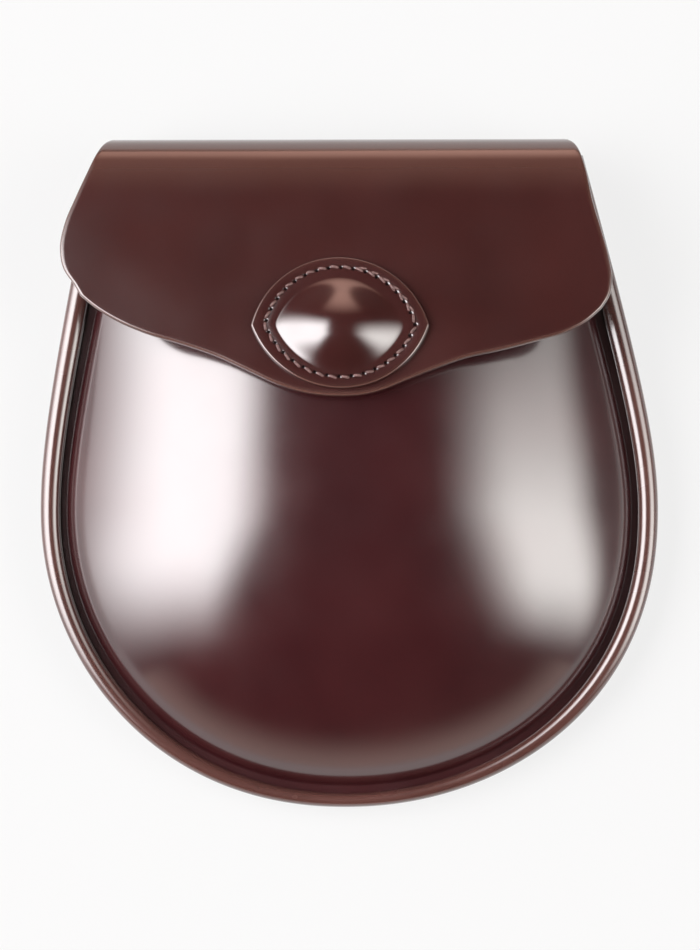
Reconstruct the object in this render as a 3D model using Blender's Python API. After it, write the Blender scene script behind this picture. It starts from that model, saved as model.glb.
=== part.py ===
"""Sporran pouch of thick polished leather, lying on its back, in metres with +Z up.

The pouch is drawn in its own plane first: X to the right as seen from the front, Y towards
the folded top, Z out of the front, with Z = 0 on the back panel's rear face and Y = 0 at
the widest line of the body. It then leans back on its two strap loops.
"""

import math

import bpy
import numpy as np

MM = 0.001

# Leather and clearances
BODY_LEATHER = 2.4 * MM
PATCH_LEATHER = 1.6 * MM
LOOP_LEATHER = 2.0 * MM
SEAM_GAP = 0.3 * MM

# Outline of the body: straight-tapering sides above Y = 0, a full round bottom below it
BODY_HALF_WIDTH = 95.1 * MM
BODY_BOTTOM = 91.4 * MM
BODY_TOP = 109.0 * MM
BOTTOM_ROUNDNESS = 2.09
SIDE_TAPER = 0.245
TAPER_SOFTNESS = 32.0 * MM
SWAY = 0.038
SWING = 6.8 * MM
SWING_CROSSING = 0.8

# Rolled binding round the rim
ROLL_WIDTH = 5.9 * MM
ROLL_CROWN = 2.9 * MM
ROLL_BACK_LIP = 1.2 * MM
ROLL_WALL = 1.5 * MM
# columns: share of the way from the mouth to the bottom, share of ROLL_WIDTH
ROLL_STATIONS = (
    (0.00, 1.154),
    (0.24, 1.09),
    (0.50, 1.00),
    (1.00, 0.71),
)

# Moulded front: the groove between the binding and the dome, and how the dome swells
MOUTH_STEP = 5.0 * MM
GROOVE_TOP = 4.3 * MM
GROOVE_SIDE = 2.1 * MM
GROOVE_BOTTOM = 2.41 * MM
GROOVE_GROWTH = 1.3
DOME_DEPTH = 32.0 * MM
DOME_FLATNESS = 2.4
DOME_FULLNESS = 0.85
MIDRIB_SHARE = 0.45

# Flap: fold over the top, then down the front
FOLD_ROOM = 2.5 * MM
FOLD_DEPTH = 24.0 * MM
FOLD_BACK_RADIUS = 6.0 * MM
FOLD_FRONT_RADIUS = 12.0 * MM
FOLD_LEAN = math.radians(20.0)
FLAP_LIFT = 4.0 * MM
FLAP_DRAPE = 3.0 * MM
FLAP_DRAPE_POWER = 2.2
FLAP_HALF_WIDTH = 83.9 * MM
FLAP_DROP = 79.1 * MM
TAIL_LENGTH = 31.0 * MM
TAIL_CLEARANCE = 2.8 * MM
TAIL_BLEND_POWER = 6
# columns: share of the side edge's length from the fold to the corner, then the half-width
# on the left and on the right as shares of FLAP_HALF_WIDTH
FLAP_SIDE = (
    (0.00, 0.822, 0.832),
    (0.10, 0.854, 0.870),
    (0.25, 0.897, 0.903),
    (0.45, 0.957, 0.929),
    (0.60, 0.998, 0.956),
    (0.75, 1.016, 0.980),
    (0.86, 1.002, 0.988),
    (0.94, 0.967, 0.976),
    (1.00, 0.945, 0.949),
)
# columns: share of the way from the middle to the corner, then how low the hem is on the
# left and on the right as shares of FLAP_DROP
FLAP_HEM = (
    (0.00, 1.000, 1.000),
    (0.07, 0.997, 0.996),
    (0.15, 0.985, 0.978),
    (0.25, 0.953, 0.938),
    (0.35, 0.906, 0.898),
    (0.48, 0.846, 0.852),
    (0.61, 0.801, 0.824),
    (0.75, 0.759, 0.788),
    (0.86, 0.711, 0.756),
    (0.95, 0.655, 0.708),
    (1.00, 0.613, 0.664),
)

# Eye-shaped patch on the flap, with its dome
PATCH_DROP = 57.5 * MM
PATCH_HALF_LENGTH = 27.0 * MM
PATCH_RISE = 20.7 * MM
PATCH_FALL = 19.2 * MM
BOSS_HALF_LENGTH = 19.6 * MM
BOSS_HALF_HEIGHT = 14.6 * MM
BOSS_POINT = 0.5
BOSS_HEIGHT = 5.0 * MM
BOSS_FLATNESS = 2.0
BOSS_FULLNESS = 1.15
# shares of the way from the boss's top to its foot
BOSS_RINGS = (0.16, 0.36, 0.56, 0.74, 0.88, 0.96, 1.00)

# Hidden closure stud between the front panel and the flap
STUD_HEAD_RADIUS = 5.0 * MM
STUD_NECK_RADIUS = 3.0 * MM
STUD_PLATE = 0.8 * MM

# Strap loops on the back
LOOP_CENTRE_X = 42.0 * MM
LOOP_BELOW_TAIL = 3.75 * MM
LOOP_WIDTH = 26.0 * MM
STRAP_WIDTH_ROOM = 31.0 * MM
STRAP_THICKNESS_ROOM = 5.5 * MM
LOOP_FOOT = 8.0 * MM

# Facets
SIDE_STEPS = 13
BOTTOM_STEPS = 20
DOME_STEPS = 12
DOME_CROWDING = 1.5
ROLL_FRONT_STEPS = 8
ROLL_BACK_STEPS = 5
TAIL_STEPS = 3
BACK_BEND_STEPS = 6
FRONT_BEND_STEPS = 5
FRONT_PATH_STEPS = 60
FLAP_COLUMNS = 26
FLAP_ROWS = 12
PATCH_SIDES = 36
STUD_SIDES = 20
JOIN_DISTANCE = 0.01 * MM
SHARP_ANGLE = math.radians(40.0)

# Sizes that follow from the ones above
FLANGE_FRONT = 2 * BODY_LEATHER + SEAM_GAP
PANEL_INSET = ROLL_WALL + SEAM_GAP
ROLL_TOP = FLANGE_FRONT + SEAM_GAP
FRONT_TOP = BODY_TOP - MOUTH_STEP
FLAP_TOP = BODY_TOP + FOLD_ROOM + BODY_LEATHER
FLAP_BACK_FACE = -(SEAM_GAP + BODY_LEATHER)
TAIL_BOTTOM = BODY_TOP - TAIL_LENGTH
PATCH_CENTRE = FLAP_TOP - PATCH_DROP
TOP_LINE = TAIL_STEPS + BACK_BEND_STEPS + 1
PATH_END = FLAP_TOP - FLAP_DROP - FLAP_LIFT
LOOP_REACH = SEAM_GAP + STRAP_THICKNESS_ROOM + LOOP_LEATHER
LOOP_HALF_LENGTH = STRAP_WIDTH_ROOM / 2 + STRAP_THICKNESS_ROOM / 2 + LOOP_FOOT
LOOP_CENTRE_Y = TAIL_BOTTOM - LOOP_BELOW_TAIL - LOOP_HALF_LENGTH
DOME_INSET_TOP = ROLL_WIDTH * ROLL_STATIONS[0][1] + GROOVE_TOP
DOME_INSET_SIDE = ROLL_WIDTH + GROOVE_SIDE
DOME_INSET_BOTTOM = ROLL_WIDTH * ROLL_STATIONS[-1][1] + GROOVE_BOTTOM


def clear_scene():
    for obj in list(bpy.data.objects):
        bpy.data.objects.remove(obj, do_unlink=True)


def through(rows, at, column=1):
    """One column of a table at the given places of its first column: a cubic through every
    row, whose slope at a row is the slope between its neighbours."""
    table = np.array(rows, float)
    x, y = table[:, 0], table[:, column]
    slope = np.gradient(y, x)
    i = np.clip(np.searchsorted(x, at, side="right") - 1, 0, len(x) - 2)
    width = x[i + 1] - x[i]
    t = (np.asarray(at, float) - x[i]) / width
    rise = y[i + 1] - y[i]
    start, end = slope[i] * width, slope[i + 1] * width
    return y[i] + t * (start + t * (3 * rise - 2 * start - end + t * (start + end - 2 * rise)))


def side_half_width(y, half_width):
    """Half the width at height Y above the widest line: a hyperbola that leaves the widest
    line upright and comes to lean in by SIDE_TAPER."""
    return half_width - SIDE_TAPER * (np.hypot(y, TAPER_SOFTNESS) - TAPER_SOFTNESS)


def sway(points):
    """The same points moved sideways, because the real pouch isn't quite even: above the
    widest line its middle line leaves the upright by SWAY to the left, as the side does by
    SIDE_TAPER, and below it the line swings to the right and back across at SWING_CROSSING."""
    moved = np.array(points, float)
    height = np.clip(moved[..., 1], 0, None)
    moved[..., 0] -= SWAY * (np.hypot(height, TAPER_SOFTNESS) - TAPER_SOFTNESS)
    depth = np.clip(-moved[..., 1] / BODY_BOTTOM, 0, None)
    moved[..., 0] += SWING * depth**2 * (SWING_CROSSING - depth)
    return moved


def dome_inset(y):
    """How far inside the rim the dome starts, above the widest line."""
    share = np.clip(y / BODY_TOP, 0, None) ** GROOVE_GROWTH
    return DOME_INSET_SIDE + (DOME_INSET_TOP - DOME_INSET_SIDE) * share


def half_outline(top, half_width, bottom, inset_at=None):
    """The left half of an outline, from its top end down the side and round to the bottom
    middle: the side is side_half_width, the bottom a superellipse."""
    y = np.linspace(top, 0, SIDE_STEPS, endpoint=False)
    inset = inset_at(y) - inset_at(0.0) if inset_at else 0.0
    side = np.stack([inset - side_half_width(y, half_width), y], axis=1)
    turn = np.linspace(0, math.pi / 2, BOTTOM_STEPS + 1)
    power = 2 / BOTTOM_ROUNDNESS
    across = np.abs(np.cos(turn)) ** power
    across[-1] = 0.0
    down = np.abs(np.sin(turn)) ** power
    return np.concatenate([side, np.stack([-half_width * across, -bottom * down], axis=1)])


def mirrored(left):
    """A left half with its mirror image added, from the left top end to the right top end."""
    return np.concatenate([left, (left * (-1, 1))[-2::-1]])


def rim_outline(top, inset):
    """The rim's outline moved in by a distance, or by a distance for each point."""
    rim = mirrored(half_outline(top, BODY_HALF_WIDTH, BODY_BOTTOM))
    along = np.gradient(rim, axis=0)
    along /= np.linalg.norm(along, axis=1)[:, None]
    inwards = np.stack([-along[:, 1], along[:, 0]], axis=1)
    moved = rim + inwards * np.broadcast_to(inset, len(rim))[:, None]
    moved[[0, -1], 1] = top
    return moved


def fold_front_centre():
    """Centre of the fold's front bend, as (Y, Z)."""
    return FLAP_TOP - FOLD_FRONT_RADIUS, FLAP_BACK_FACE + FOLD_DEPTH - FOLD_FRONT_RADIUS


def flap_front_ends():
    """Where the flap's front leaves the fold, as (Y, Z), its slope times that Y, and how far
    it still rises to the dome's fullest place."""
    centre_y, centre_z = fold_front_centre()
    start_y = centre_y + FOLD_FRONT_RADIUS * math.sin(FOLD_LEAN)
    start_z = centre_z + FOLD_FRONT_RADIUS * math.cos(FOLD_LEAN)
    top_z = FLANGE_FRONT + DOME_DEPTH + FLAP_LIFT + BODY_LEATHER
    return start_y, start_z, start_y * math.tan(FOLD_LEAN), top_z - start_z


def flap_front_curve(y):
    """Height of the flap's outer face down the middle of the front: a cubic that leaves the
    fold at FOLD_LEAN and is level over the dome's fullest place."""
    start_y, start_z, leave, rise = flap_front_ends()
    t = 1 - np.asarray(y, float) / start_y
    return start_z + leave * t * (1 - t) ** 2 + rise * t * t * (3 - 2 * t)


def flap_front_slope(y):
    """How fast that height falls with Y."""
    start_y, _, leave, rise = flap_front_ends()
    t = 1 - np.asarray(y, float) / start_y
    return (leave * (1 - t) * (1 - 3 * t) + 6 * rise * t * (1 - t)) / start_y


def crown(y):
    """Height of the dome down the middle of the front: it carries the flap above the widest
    line and is level below it."""
    under_flap = flap_front_curve(np.clip(y, 0, None)) - BODY_LEATHER - FLAP_LIFT
    return under_flap - FLANGE_FRONT


def front_height(x, y):
    """Height of the front panel's outer face: the crown's height times a pillow that falls
    to nothing at the edge of the dome."""
    upper_edge = side_half_width(y, BODY_HALF_WIDTH) - dome_inset(y)
    upper = np.abs(x) / upper_edge
    n = BOTTOM_ROUNDNESS
    across = np.abs(x) / (BODY_HALF_WIDTH - DOME_INSET_SIDE)
    down = np.abs(y) / (BODY_BOTTOM - DOME_INSET_BOTTOM)
    lower = (across**n + down**n) ** (1 / n)
    out = np.clip(np.where(y > 0, upper, lower), 0, 1)
    pillow = (1 - out**DOME_FLATNESS) ** DOME_FULLNESS
    return FLANGE_FRONT + crown(y) * pillow


def grid_mesh(name, points, loop=False):
    """A mesh object of a grid of points, rows by columns, closed across its columns if asked."""
    rows, columns = points.shape[:2]
    index = np.arange(rows * columns).reshape(rows, columns)
    if loop:
        index = np.concatenate([index, index[:, :1]], axis=1)
    corners = (index[:-1, :-1], index[1:, :-1], index[1:, 1:], index[:-1, 1:])
    faces = np.stack([c.ravel() for c in corners], axis=1)
    return mesh_object(name, points.reshape(-1, 3), faces.tolist())


def mesh_object(name, points, faces):
    mesh = bpy.data.meshes.new(name)
    mesh.from_pydata(np.asarray(points).tolist(), [], faces)
    obj = bpy.data.objects.new(name, mesh)
    bpy.context.scene.collection.objects.link(obj)
    return obj


def merge_doubles(obj):
    weld = obj.modifiers.new("join the halves", "WELD")
    weld.merge_threshold = JOIN_DISTANCE


def give_wall(obj, thickness):
    """A wall grown inwards from the drawn outer face."""
    solidify = obj.modifiers.new("leather wall", "SOLIDIFY")
    solidify.thickness = thickness
    solidify.offset = -1
    solidify.use_even_offset = True


def finish(obj, material, parent, smooth=True):
    obj.data.materials.append(material)
    obj.parent = parent
    if smooth:
        obj.data.shade_smooth()
        obj.data.set_sharp_from_angle(angle=SHARP_ANGLE)


def make_material(name, colour, roughness, metallic=0.0):
    material = bpy.data.materials.new(name)
    material.use_nodes = True
    shader = material.node_tree.nodes["Principled BSDF"]
    shader.inputs["Base Color"].default_value = (*colour, 1.0)
    shader.inputs["Roughness"].default_value = roughness
    shader.inputs["Metallic"].default_value = metallic
    return material


def make_front_panel(parent):
    """The moulded panel: each column of its grid runs from the middle line, where the left and
    right halves meet, down over the dome to the flange's edge."""
    flange = rim_outline(FRONT_TOP, PANEL_INSET)
    dome_edge = mirrored(
        half_outline(
            FRONT_TOP,
            BODY_HALF_WIDTH - DOME_INSET_SIDE,
            BODY_BOTTOM - DOME_INSET_BOTTOM,
            dome_inset,
        )
    )
    midrib_end = -MIDRIB_SHARE * BODY_BOTTOM
    heights = np.linspace(FRONT_TOP, 0, SIDE_STEPS, endpoint=False)
    midrib = np.concatenate([heights, np.linspace(0, midrib_end, BOTTOM_STEPS + 1)])
    midrib = mirrored(np.stack([np.zeros_like(midrib), midrib], axis=1))
    outwards = (1 - np.linspace(1, 0, DOME_STEPS + 1) ** DOME_CROWDING)[:, None, None]
    dome = midrib + (dome_edge - midrib) * outwards
    plan = np.concatenate([dome, flange[None]])
    height = front_height(plan[..., 0], plan[..., 1])
    height[-2:] = FLANGE_FRONT
    panel = grid_mesh("front_panel", sway(np.dstack([plan, height])))
    merge_doubles(panel)
    give_wall(panel, BODY_LEATHER)
    finish(panel, make_material("front leather", (0.095, 0.030, 0.027), 0.25), parent)


def make_back_panel(parent):
    """The flat back, cut to the rim's outline inside the binding."""
    outline = rim_outline(BODY_TOP, PANEL_INSET)
    count = len(outline)
    points = np.zeros((2, count, 3))
    points[..., :2] = outline
    points[1, :, 2] = BODY_LEATHER
    rim = [[i, (i + 1) % count, count + (i + 1) % count, count + i] for i in range(count)]
    caps = [list(range(count))[::-1], list(range(count, 2 * count))]
    panel = mesh_object("back_panel", sway(points.reshape(-1, 3)), rim + caps)
    finish(panel, make_material("back leather", (0.090, 0.030, 0.024), 0.45), parent, False)


def roll_section(width):
    """Section of the binding across the rim as (inwards, Z), for one width or a column of
    them: half an ellipse over the front, half a flatter one behind, and a slot between them
    that holds both panels' edges."""
    front = np.linspace(math.pi, 0, ROLL_FRONT_STEPS + 1)
    back = np.linspace(0, -math.pi, ROLL_BACK_STEPS + 1)
    inner = 0.5 * width * (1 + np.cos(front))
    behind = 0.5 * width * (1 + np.cos(back))
    wall = np.full_like(width, ROLL_WALL)
    across = np.concatenate([inner, wall, wall, behind], axis=1)
    z = np.concatenate(
        [
            ROLL_TOP + ROLL_CROWN * np.sin(front),
            [ROLL_TOP, -SEAM_GAP],
            -SEAM_GAP + ROLL_BACK_LIP * np.sin(back),
        ]
    )
    return across, z


def make_rim_roll(parent):
    """The binding, its section carried round the rim, broad at the mouth and slim below."""
    half = len(half_outline(BODY_TOP, BODY_HALF_WIDTH, BODY_BOTTOM))
    share = np.linspace(0, 1, half)
    width = ROLL_WIDTH * through(ROLL_STATIONS, share)
    width = np.concatenate([width, width[-2::-1]])[:, None]
    across, z = roll_section(width)
    sections = [
        np.column_stack([rim_outline(BODY_TOP, across[:, k]), np.full(len(width), z[k])])
        for k in range(len(z))
    ]
    points = sway(np.stack(sections, axis=1))
    roll = grid_mesh("rim_roll", points, loop=True)
    close_ends(roll, *points.shape[:2])
    finish(roll, make_material("rim leather", (0.140, 0.060, 0.045), 0.28), parent)


def close_ends(obj, rows, columns):
    """Flat caps over the first and last row of a looped grid."""
    mesh = obj.data
    faces = [list(p.vertices) for p in mesh.polygons]
    last = (rows - 1) * columns
    faces += [list(range(columns)), list(range(last, last + columns))[::-1]]
    points = [v.co[:] for v in mesh.vertices]
    mesh.clear_geometry()
    mesh.from_pydata(points, [], faces)


def flap_path():
    """The flap's outer face down the middle, as rows of (distance from the top line, Y, Z):
    up the back, over the fold's two bends and down the front."""
    back_centre = (FLAP_TOP - FOLD_BACK_RADIUS, FLAP_BACK_FACE + FOLD_BACK_RADIUS)
    front_centre = fold_front_centre()
    up_back = np.linspace(TAIL_BOTTOM, back_centre[0], TAIL_STEPS, endpoint=False)
    bend = np.linspace(0, math.pi / 2, BACK_BEND_STEPS + 1)
    over = np.linspace(math.pi / 2, FOLD_LEAN, FRONT_BEND_STEPS + 1)
    down_front = np.linspace(flap_front_ends()[0], PATH_END, FRONT_PATH_STEPS)[1:]
    y = np.concatenate(
        [
            up_back,
            back_centre[0] + FOLD_BACK_RADIUS * np.sin(bend),
            front_centre[0] + FOLD_FRONT_RADIUS * np.sin(over),
            down_front,
        ]
    )
    z = np.concatenate(
        [
            np.full_like(up_back, FLAP_BACK_FACE),
            back_centre[1] - FOLD_BACK_RADIUS * np.cos(bend),
            front_centre[1] + FOLD_FRONT_RADIUS * np.cos(over),
            flap_front_curve(down_front),
        ]
    )
    distance = np.concatenate([[0], np.cumsum(np.hypot(np.diff(y), np.diff(z)))])
    return distance - distance[TOP_LINE], y, z


def make_flap(parent):
    """The flap: rows run across it, from the tail's edge over the fold to the hem."""
    distance, y_path, z_path = flap_path()
    from_y = (y_path[TOP_LINE:][::-1], distance[TOP_LINE:][::-1])
    u = np.linspace(-1, 1, FLAP_COLUMNS + 1)
    out = np.abs(u)
    drop = np.where(u < 0, through(FLAP_HEM, out, 1), through(FLAP_HEM, out, 2))
    hem = np.interp(FLAP_TOP - FLAP_DROP * drop, *from_y)
    side = np.interp(u, [-1, 1], hem[[0, -1]])
    bend_share = distance[TOP_LINE : TOP_LINE + FRONT_BEND_STEPS + 1] / side.max()
    v = np.concatenate([bend_share, np.linspace(bend_share[-1], 1, FLAP_ROWS + 1)[1:]])[:, None]
    reach = v * side + (hem - side) * v**2
    half_width = np.where(u < 0, through(FLAP_SIDE, v, 1), through(FLAP_SIDE, v, 2))
    half_width = half_width * FLAP_HALF_WIDTH
    back_rows = distance[:TOP_LINE]
    share = 1 - back_rows / back_rows[0]
    tail = tail_half_width()
    widening = tail + (half_width[0] - tail) * share[:, None] ** TAIL_BLEND_POWER
    distances = np.concatenate([np.repeat(back_rows[:, None], len(u), axis=1), reach])
    x = np.concatenate([widening, half_width]) * u
    y = np.interp(distances, distance, y_path)
    z = np.interp(distances, distance, z_path) - flap_drape(x, y) * (distances > 0)
    flap = grid_mesh("flap", sway(np.dstack([x, y, z])))
    give_wall(flap, BODY_LEATHER)
    finish(flap, make_material("flap leather", (0.085, 0.028, 0.024), 0.30), parent)


def tail_half_width():
    """Half the width of the flap's tail on the back, clear of the binding on both sides."""
    roll_width = ROLL_WIDTH * ROLL_STATIONS[0][1]
    return side_half_width(BODY_TOP, BODY_HALF_WIDTH) - roll_width - TAIL_CLEARANCE


def flap_drape(x, y):
    """How far the flap hangs below its middle: nothing at the fold, FLAP_DRAPE at the corners."""
    down = np.clip((FLAP_TOP - y) / FLAP_DROP, 0, 1)
    return FLAP_DRAPE * down * (np.abs(x) / FLAP_HALF_WIDTH) ** FLAP_DRAPE_POWER


def patch_edge(turn):
    """The eye-shaped outline at angles round its centre: two arcs that meet in a point at
    each side, the upper one higher than the lower."""
    x = PATCH_HALF_LENGTH * np.cos(turn)
    reach = np.where(np.sin(turn) >= 0, PATCH_RISE, PATCH_FALL)
    radius = (PATCH_HALF_LENGTH**2 + reach**2) / (2 * reach)
    height = np.sqrt(radius**2 - x**2) - (radius - reach)
    return np.stack([x, np.sign(np.sin(turn)) * np.clip(height, 0, None)], axis=1)


def boss_ring(turn, out):
    """The boss's ring at a share of the way out: an ellipse near the top, whose ends are drawn
    out by BOSS_POINT towards the foot, 0 for round and 1 for the point of an eye."""
    narrowing = (1 - (out * np.cos(turn)) ** 2) ** (BOSS_POINT / 2)
    across = BOSS_HALF_HEIGHT * np.sin(turn) * narrowing
    return out * np.stack([BOSS_HALF_LENGTH * np.cos(turn), across], axis=1)


def make_stud_patch(parent):
    """The patch: rings from the top of the boss down to its foot, then out to the edge."""
    turn = np.linspace(0, 2 * math.pi, PATCH_SIDES, endpoint=False)
    edge = patch_edge(turn)
    out = np.array(BOSS_RINGS)
    rings = [boss_ring(turn, share) for share in out]
    rings += [(edge + rings[-1]) / 2, edge]
    plan = np.array(rings) + (0, PATCH_CENTRE)
    swell = np.concatenate([BOSS_HEIGHT * (1 - out**BOSS_FLATNESS) ** BOSS_FULLNESS, [0, 0]])
    x, y = plan[..., 0], plan[..., 1]
    lean = np.hypot(1, flap_front_slope(y))
    base = flap_front_curve(y) - flap_drape(x, y) + (SEAM_GAP + PATCH_LEATHER) * lean
    rows = sway(np.dstack([x, y, base + swell[:, None]]))
    patch = grid_mesh("stud_patch", rows, loop=True)
    fill_middle(patch, PATCH_SIDES)
    give_wall(patch, PATCH_LEATHER)
    finish(patch, make_material("patch leather", (0.080, 0.027, 0.022), 0.22), parent)


def fill_middle(obj, columns):
    """One face over the first ring of a looped grid."""
    mesh = obj.data
    faces = [list(p.vertices) for p in mesh.polygons]
    faces.append(list(range(columns)))
    points = [v.co[:] for v in mesh.vertices]
    mesh.clear_geometry()
    mesh.from_pydata(points, [], faces)


def make_closure_stud(parent):
    """A turned stud standing on the front panel, square to it, up to the flap's inner face."""
    lean = math.atan(flap_front_slope(PATCH_CENTRE))
    height = FLAP_LIFT * math.cos(lean) - 2 * SEAM_GAP
    profile = (
        (STUD_HEAD_RADIUS, 0),
        (STUD_HEAD_RADIUS, STUD_PLATE),
        (STUD_NECK_RADIUS, STUD_PLATE),
        (STUD_NECK_RADIUS, height - STUD_PLATE),
        (STUD_HEAD_RADIUS, height - STUD_PLATE),
        (STUD_HEAD_RADIUS, height),
    )
    turn = np.linspace(0, 2 * math.pi, STUD_SIDES, endpoint=False)
    rings = [
        np.stack([r * np.cos(turn), r * np.sin(turn), np.full_like(turn, h)], axis=1)
        for r, h in profile
    ]
    stud = grid_mesh("closure_stud", np.array(rings)[:, ::-1], loop=True)
    close_ends(stud, len(profile), len(turn))
    seat = FLANGE_FRONT + float(crown(PATCH_CENTRE))
    foot = (0, PATCH_CENTRE + SEAM_GAP * math.sin(lean), seat + SEAM_GAP * math.cos(lean))
    stud.location = sway(foot)
    stud.rotation_euler = (-lean, 0, 0)
    finish(stud, make_material("stud brass", (0.62, 0.45, 0.20), 0.3, 1.0), parent)


def rest_lean():
    """The angle at which the pouch lies: it rests on its loops' outer faces and on the binding
    at the bottom of the rim, whichever point of its section comes lowest."""
    across, z = roll_section(np.array([[ROLL_WIDTH * ROLL_STATIONS[-1][1]]]))
    y = across[0] - BODY_BOTTOM
    return math.atan(np.min((z + LOOP_REACH) / (LOOP_CENTRE_Y - y)))


def make_strap_loop(name, centre_x, lean, material, parent):
    """A band sewn down at its upper and lower end, standing off the back between them, with
    its outer face level with the surface it rests on."""
    bend = STRAP_WIDTH_ROOM / 2
    inner_bend = bend - LOOP_LEATHER / 2
    ramp = STRAP_THICKNESS_ROOM / 2
    slope = math.tan(lean)
    foot = SEAM_GAP + LOOP_LEATHER
    band = LOOP_REACH - LOOP_LEATHER
    outer = (
        (LOOP_HALF_LENGTH, foot),
        (bend + ramp, foot),
        (bend, LOOP_REACH + slope * bend),
        (-bend, LOOP_REACH - slope * bend),
        (-bend - ramp, foot),
        (-LOOP_HALF_LENGTH, foot),
    )
    inner = (
        (-LOOP_HALF_LENGTH, SEAM_GAP),
        (-inner_bend - ramp, SEAM_GAP),
        (-inner_bend, band - slope * inner_bend),
        (inner_bend, band + slope * inner_bend),
        (inner_bend + ramp, SEAM_GAP),
        (LOOP_HALF_LENGTH, SEAM_GAP),
    )
    section = np.array(outer + inner)
    sides = [
        np.column_stack([np.full(len(section), x), section[:, 0], -section[:, 1]])
        for x in (-LOOP_WIDTH / 2, LOOP_WIDTH / 2)
    ]
    loop = grid_mesh(name, np.array(sides), loop=True)
    close_ends(loop, 2, len(section))
    loop.location = (centre_x, LOOP_CENTRE_Y, 0)
    finish(loop, material, parent, False)


def lay_down(holder, lean):
    """Turns the pouch back on to its loops and centres its box over the origin."""
    holder.rotation_euler = (lean, 0, 0)
    bpy.context.view_layer.update()
    graph = bpy.context.evaluated_depsgraph_get()
    corners = []
    for obj in holder.children:
        mesh = obj.evaluated_get(graph).to_mesh()
        points = np.empty(len(mesh.vertices) * 3)
        mesh.vertices.foreach_get("co", points)
        world = np.array(obj.matrix_world)
        placed = points.reshape(-1, 3) @ world[:3, :3].T + world[:3, 3]
        corners += [placed.min(axis=0), placed.max(axis=0)]
    low, high = np.min(corners, axis=0), np.max(corners, axis=0)
    holder.location = (0, -(low[1] + high[1]) / 2, -low[2])


def main():
    clear_scene()
    holder = bpy.data.objects.new("pouch", None)
    bpy.context.scene.collection.objects.link(holder)
    lean = rest_lean()
    make_front_panel(holder)
    make_back_panel(holder)
    make_rim_roll(holder)
    make_flap(holder)
    make_stud_patch(holder)
    make_closure_stud(holder)
    loop_leather = make_material("loop leather", (0.085, 0.028, 0.022), 0.5)
    make_strap_loop("strap_loop_left", -LOOP_CENTRE_X, lean, loop_leather, holder)
    make_strap_loop("strap_loop_right", LOOP_CENTRE_X, lean, loop_leather, holder)
    lay_down(holder, lean)


main()
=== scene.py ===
# %% [markdown]
# # A sporran pouch in polished leather
#
# A sporran is the pouch that hangs on a strap in front of a kilt. This one is a plain day
# pouch: a moulded front, a flat back, a rolled binding that holds their edges together, and
# one thick flap folded over the top, with a domed patch sewn on it.
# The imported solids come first. They fix every place and size, so that the fine leather
# surfaces made below can be laid exactly where the solids are.

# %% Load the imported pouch
import math

import bmesh
import bpy
import numpy as np
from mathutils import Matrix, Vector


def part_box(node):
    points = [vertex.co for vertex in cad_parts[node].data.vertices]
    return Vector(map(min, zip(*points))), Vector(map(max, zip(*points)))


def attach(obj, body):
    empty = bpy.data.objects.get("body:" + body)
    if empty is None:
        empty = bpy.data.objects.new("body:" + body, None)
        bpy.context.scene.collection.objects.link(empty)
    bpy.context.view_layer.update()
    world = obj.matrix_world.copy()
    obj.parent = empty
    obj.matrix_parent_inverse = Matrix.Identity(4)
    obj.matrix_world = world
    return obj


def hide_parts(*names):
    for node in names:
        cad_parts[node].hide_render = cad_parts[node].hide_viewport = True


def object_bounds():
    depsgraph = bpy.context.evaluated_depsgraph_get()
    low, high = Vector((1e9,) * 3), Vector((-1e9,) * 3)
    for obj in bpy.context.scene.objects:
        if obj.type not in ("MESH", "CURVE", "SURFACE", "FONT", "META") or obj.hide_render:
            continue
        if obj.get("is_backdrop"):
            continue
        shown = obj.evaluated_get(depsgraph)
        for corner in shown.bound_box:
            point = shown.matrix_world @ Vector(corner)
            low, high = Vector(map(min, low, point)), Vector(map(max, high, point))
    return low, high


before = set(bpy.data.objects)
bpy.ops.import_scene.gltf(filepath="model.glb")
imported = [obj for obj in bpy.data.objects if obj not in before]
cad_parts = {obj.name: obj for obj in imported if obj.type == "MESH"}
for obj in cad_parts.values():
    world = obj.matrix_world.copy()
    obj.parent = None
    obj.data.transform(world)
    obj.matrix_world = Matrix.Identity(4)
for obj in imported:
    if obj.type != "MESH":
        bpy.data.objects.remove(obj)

cad_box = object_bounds()
print("nodes:", ", ".join(sorted(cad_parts)))

# %% [markdown]
# ## The pouch's own frame
#
# The pouch lies on its back, leaning by the small angle that its two strap loops give it.
# Every formula is easier in the pouch's own frame: X to the right, Y towards the fold, Z out
# of the front, in millimetres, with Z = 0 on the back panel's rear face and Y = 0 at the
# widest line. The back panel's box says where that frame is in the world, and one matrix
# product then carries a whole array of points there at once.

# %% From pouch millimetres to world metres
MM = 0.001
LEAN = math.radians(2.634)
BODY_TOP = 109.0
BODY_BOTTOM = 91.4
PANEL_INSET = 1.8

pouch_axes = np.array(
    [
        [1.0, 0.0, 0.0],
        [0.0, math.cos(LEAN), math.sin(LEAN)],
        [0.0, -math.sin(LEAN), math.cos(LEAN)],
    ]
)
back_low, back_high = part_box("back_panel")
pouch_origin = np.array(
    [
        0.0,
        back_high.y - BODY_TOP * MM * math.cos(LEAN),
        back_low.z + (BODY_BOTTOM - PANEL_INSET) * MM * math.sin(LEAN),
    ]
)


def to_world(points):
    """Pouch millimetres to world metres: origin plus x, y and z times the pouch's axes."""
    return pouch_origin + (np.asarray(points, float) * MM) @ pouch_axes


print("pouch origin in the world, mm:", np.round(pouch_origin / MM, 2))

# %% [markdown]
# ## The camera
#
# The photograph was taken squarely from the front, from a little to the right, and from far
# enough away that nothing converges. A long lens two metres off does the same. The view is
# aimed by its middle: the point of the pouch's plane that the middle of the picture shows.

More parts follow.
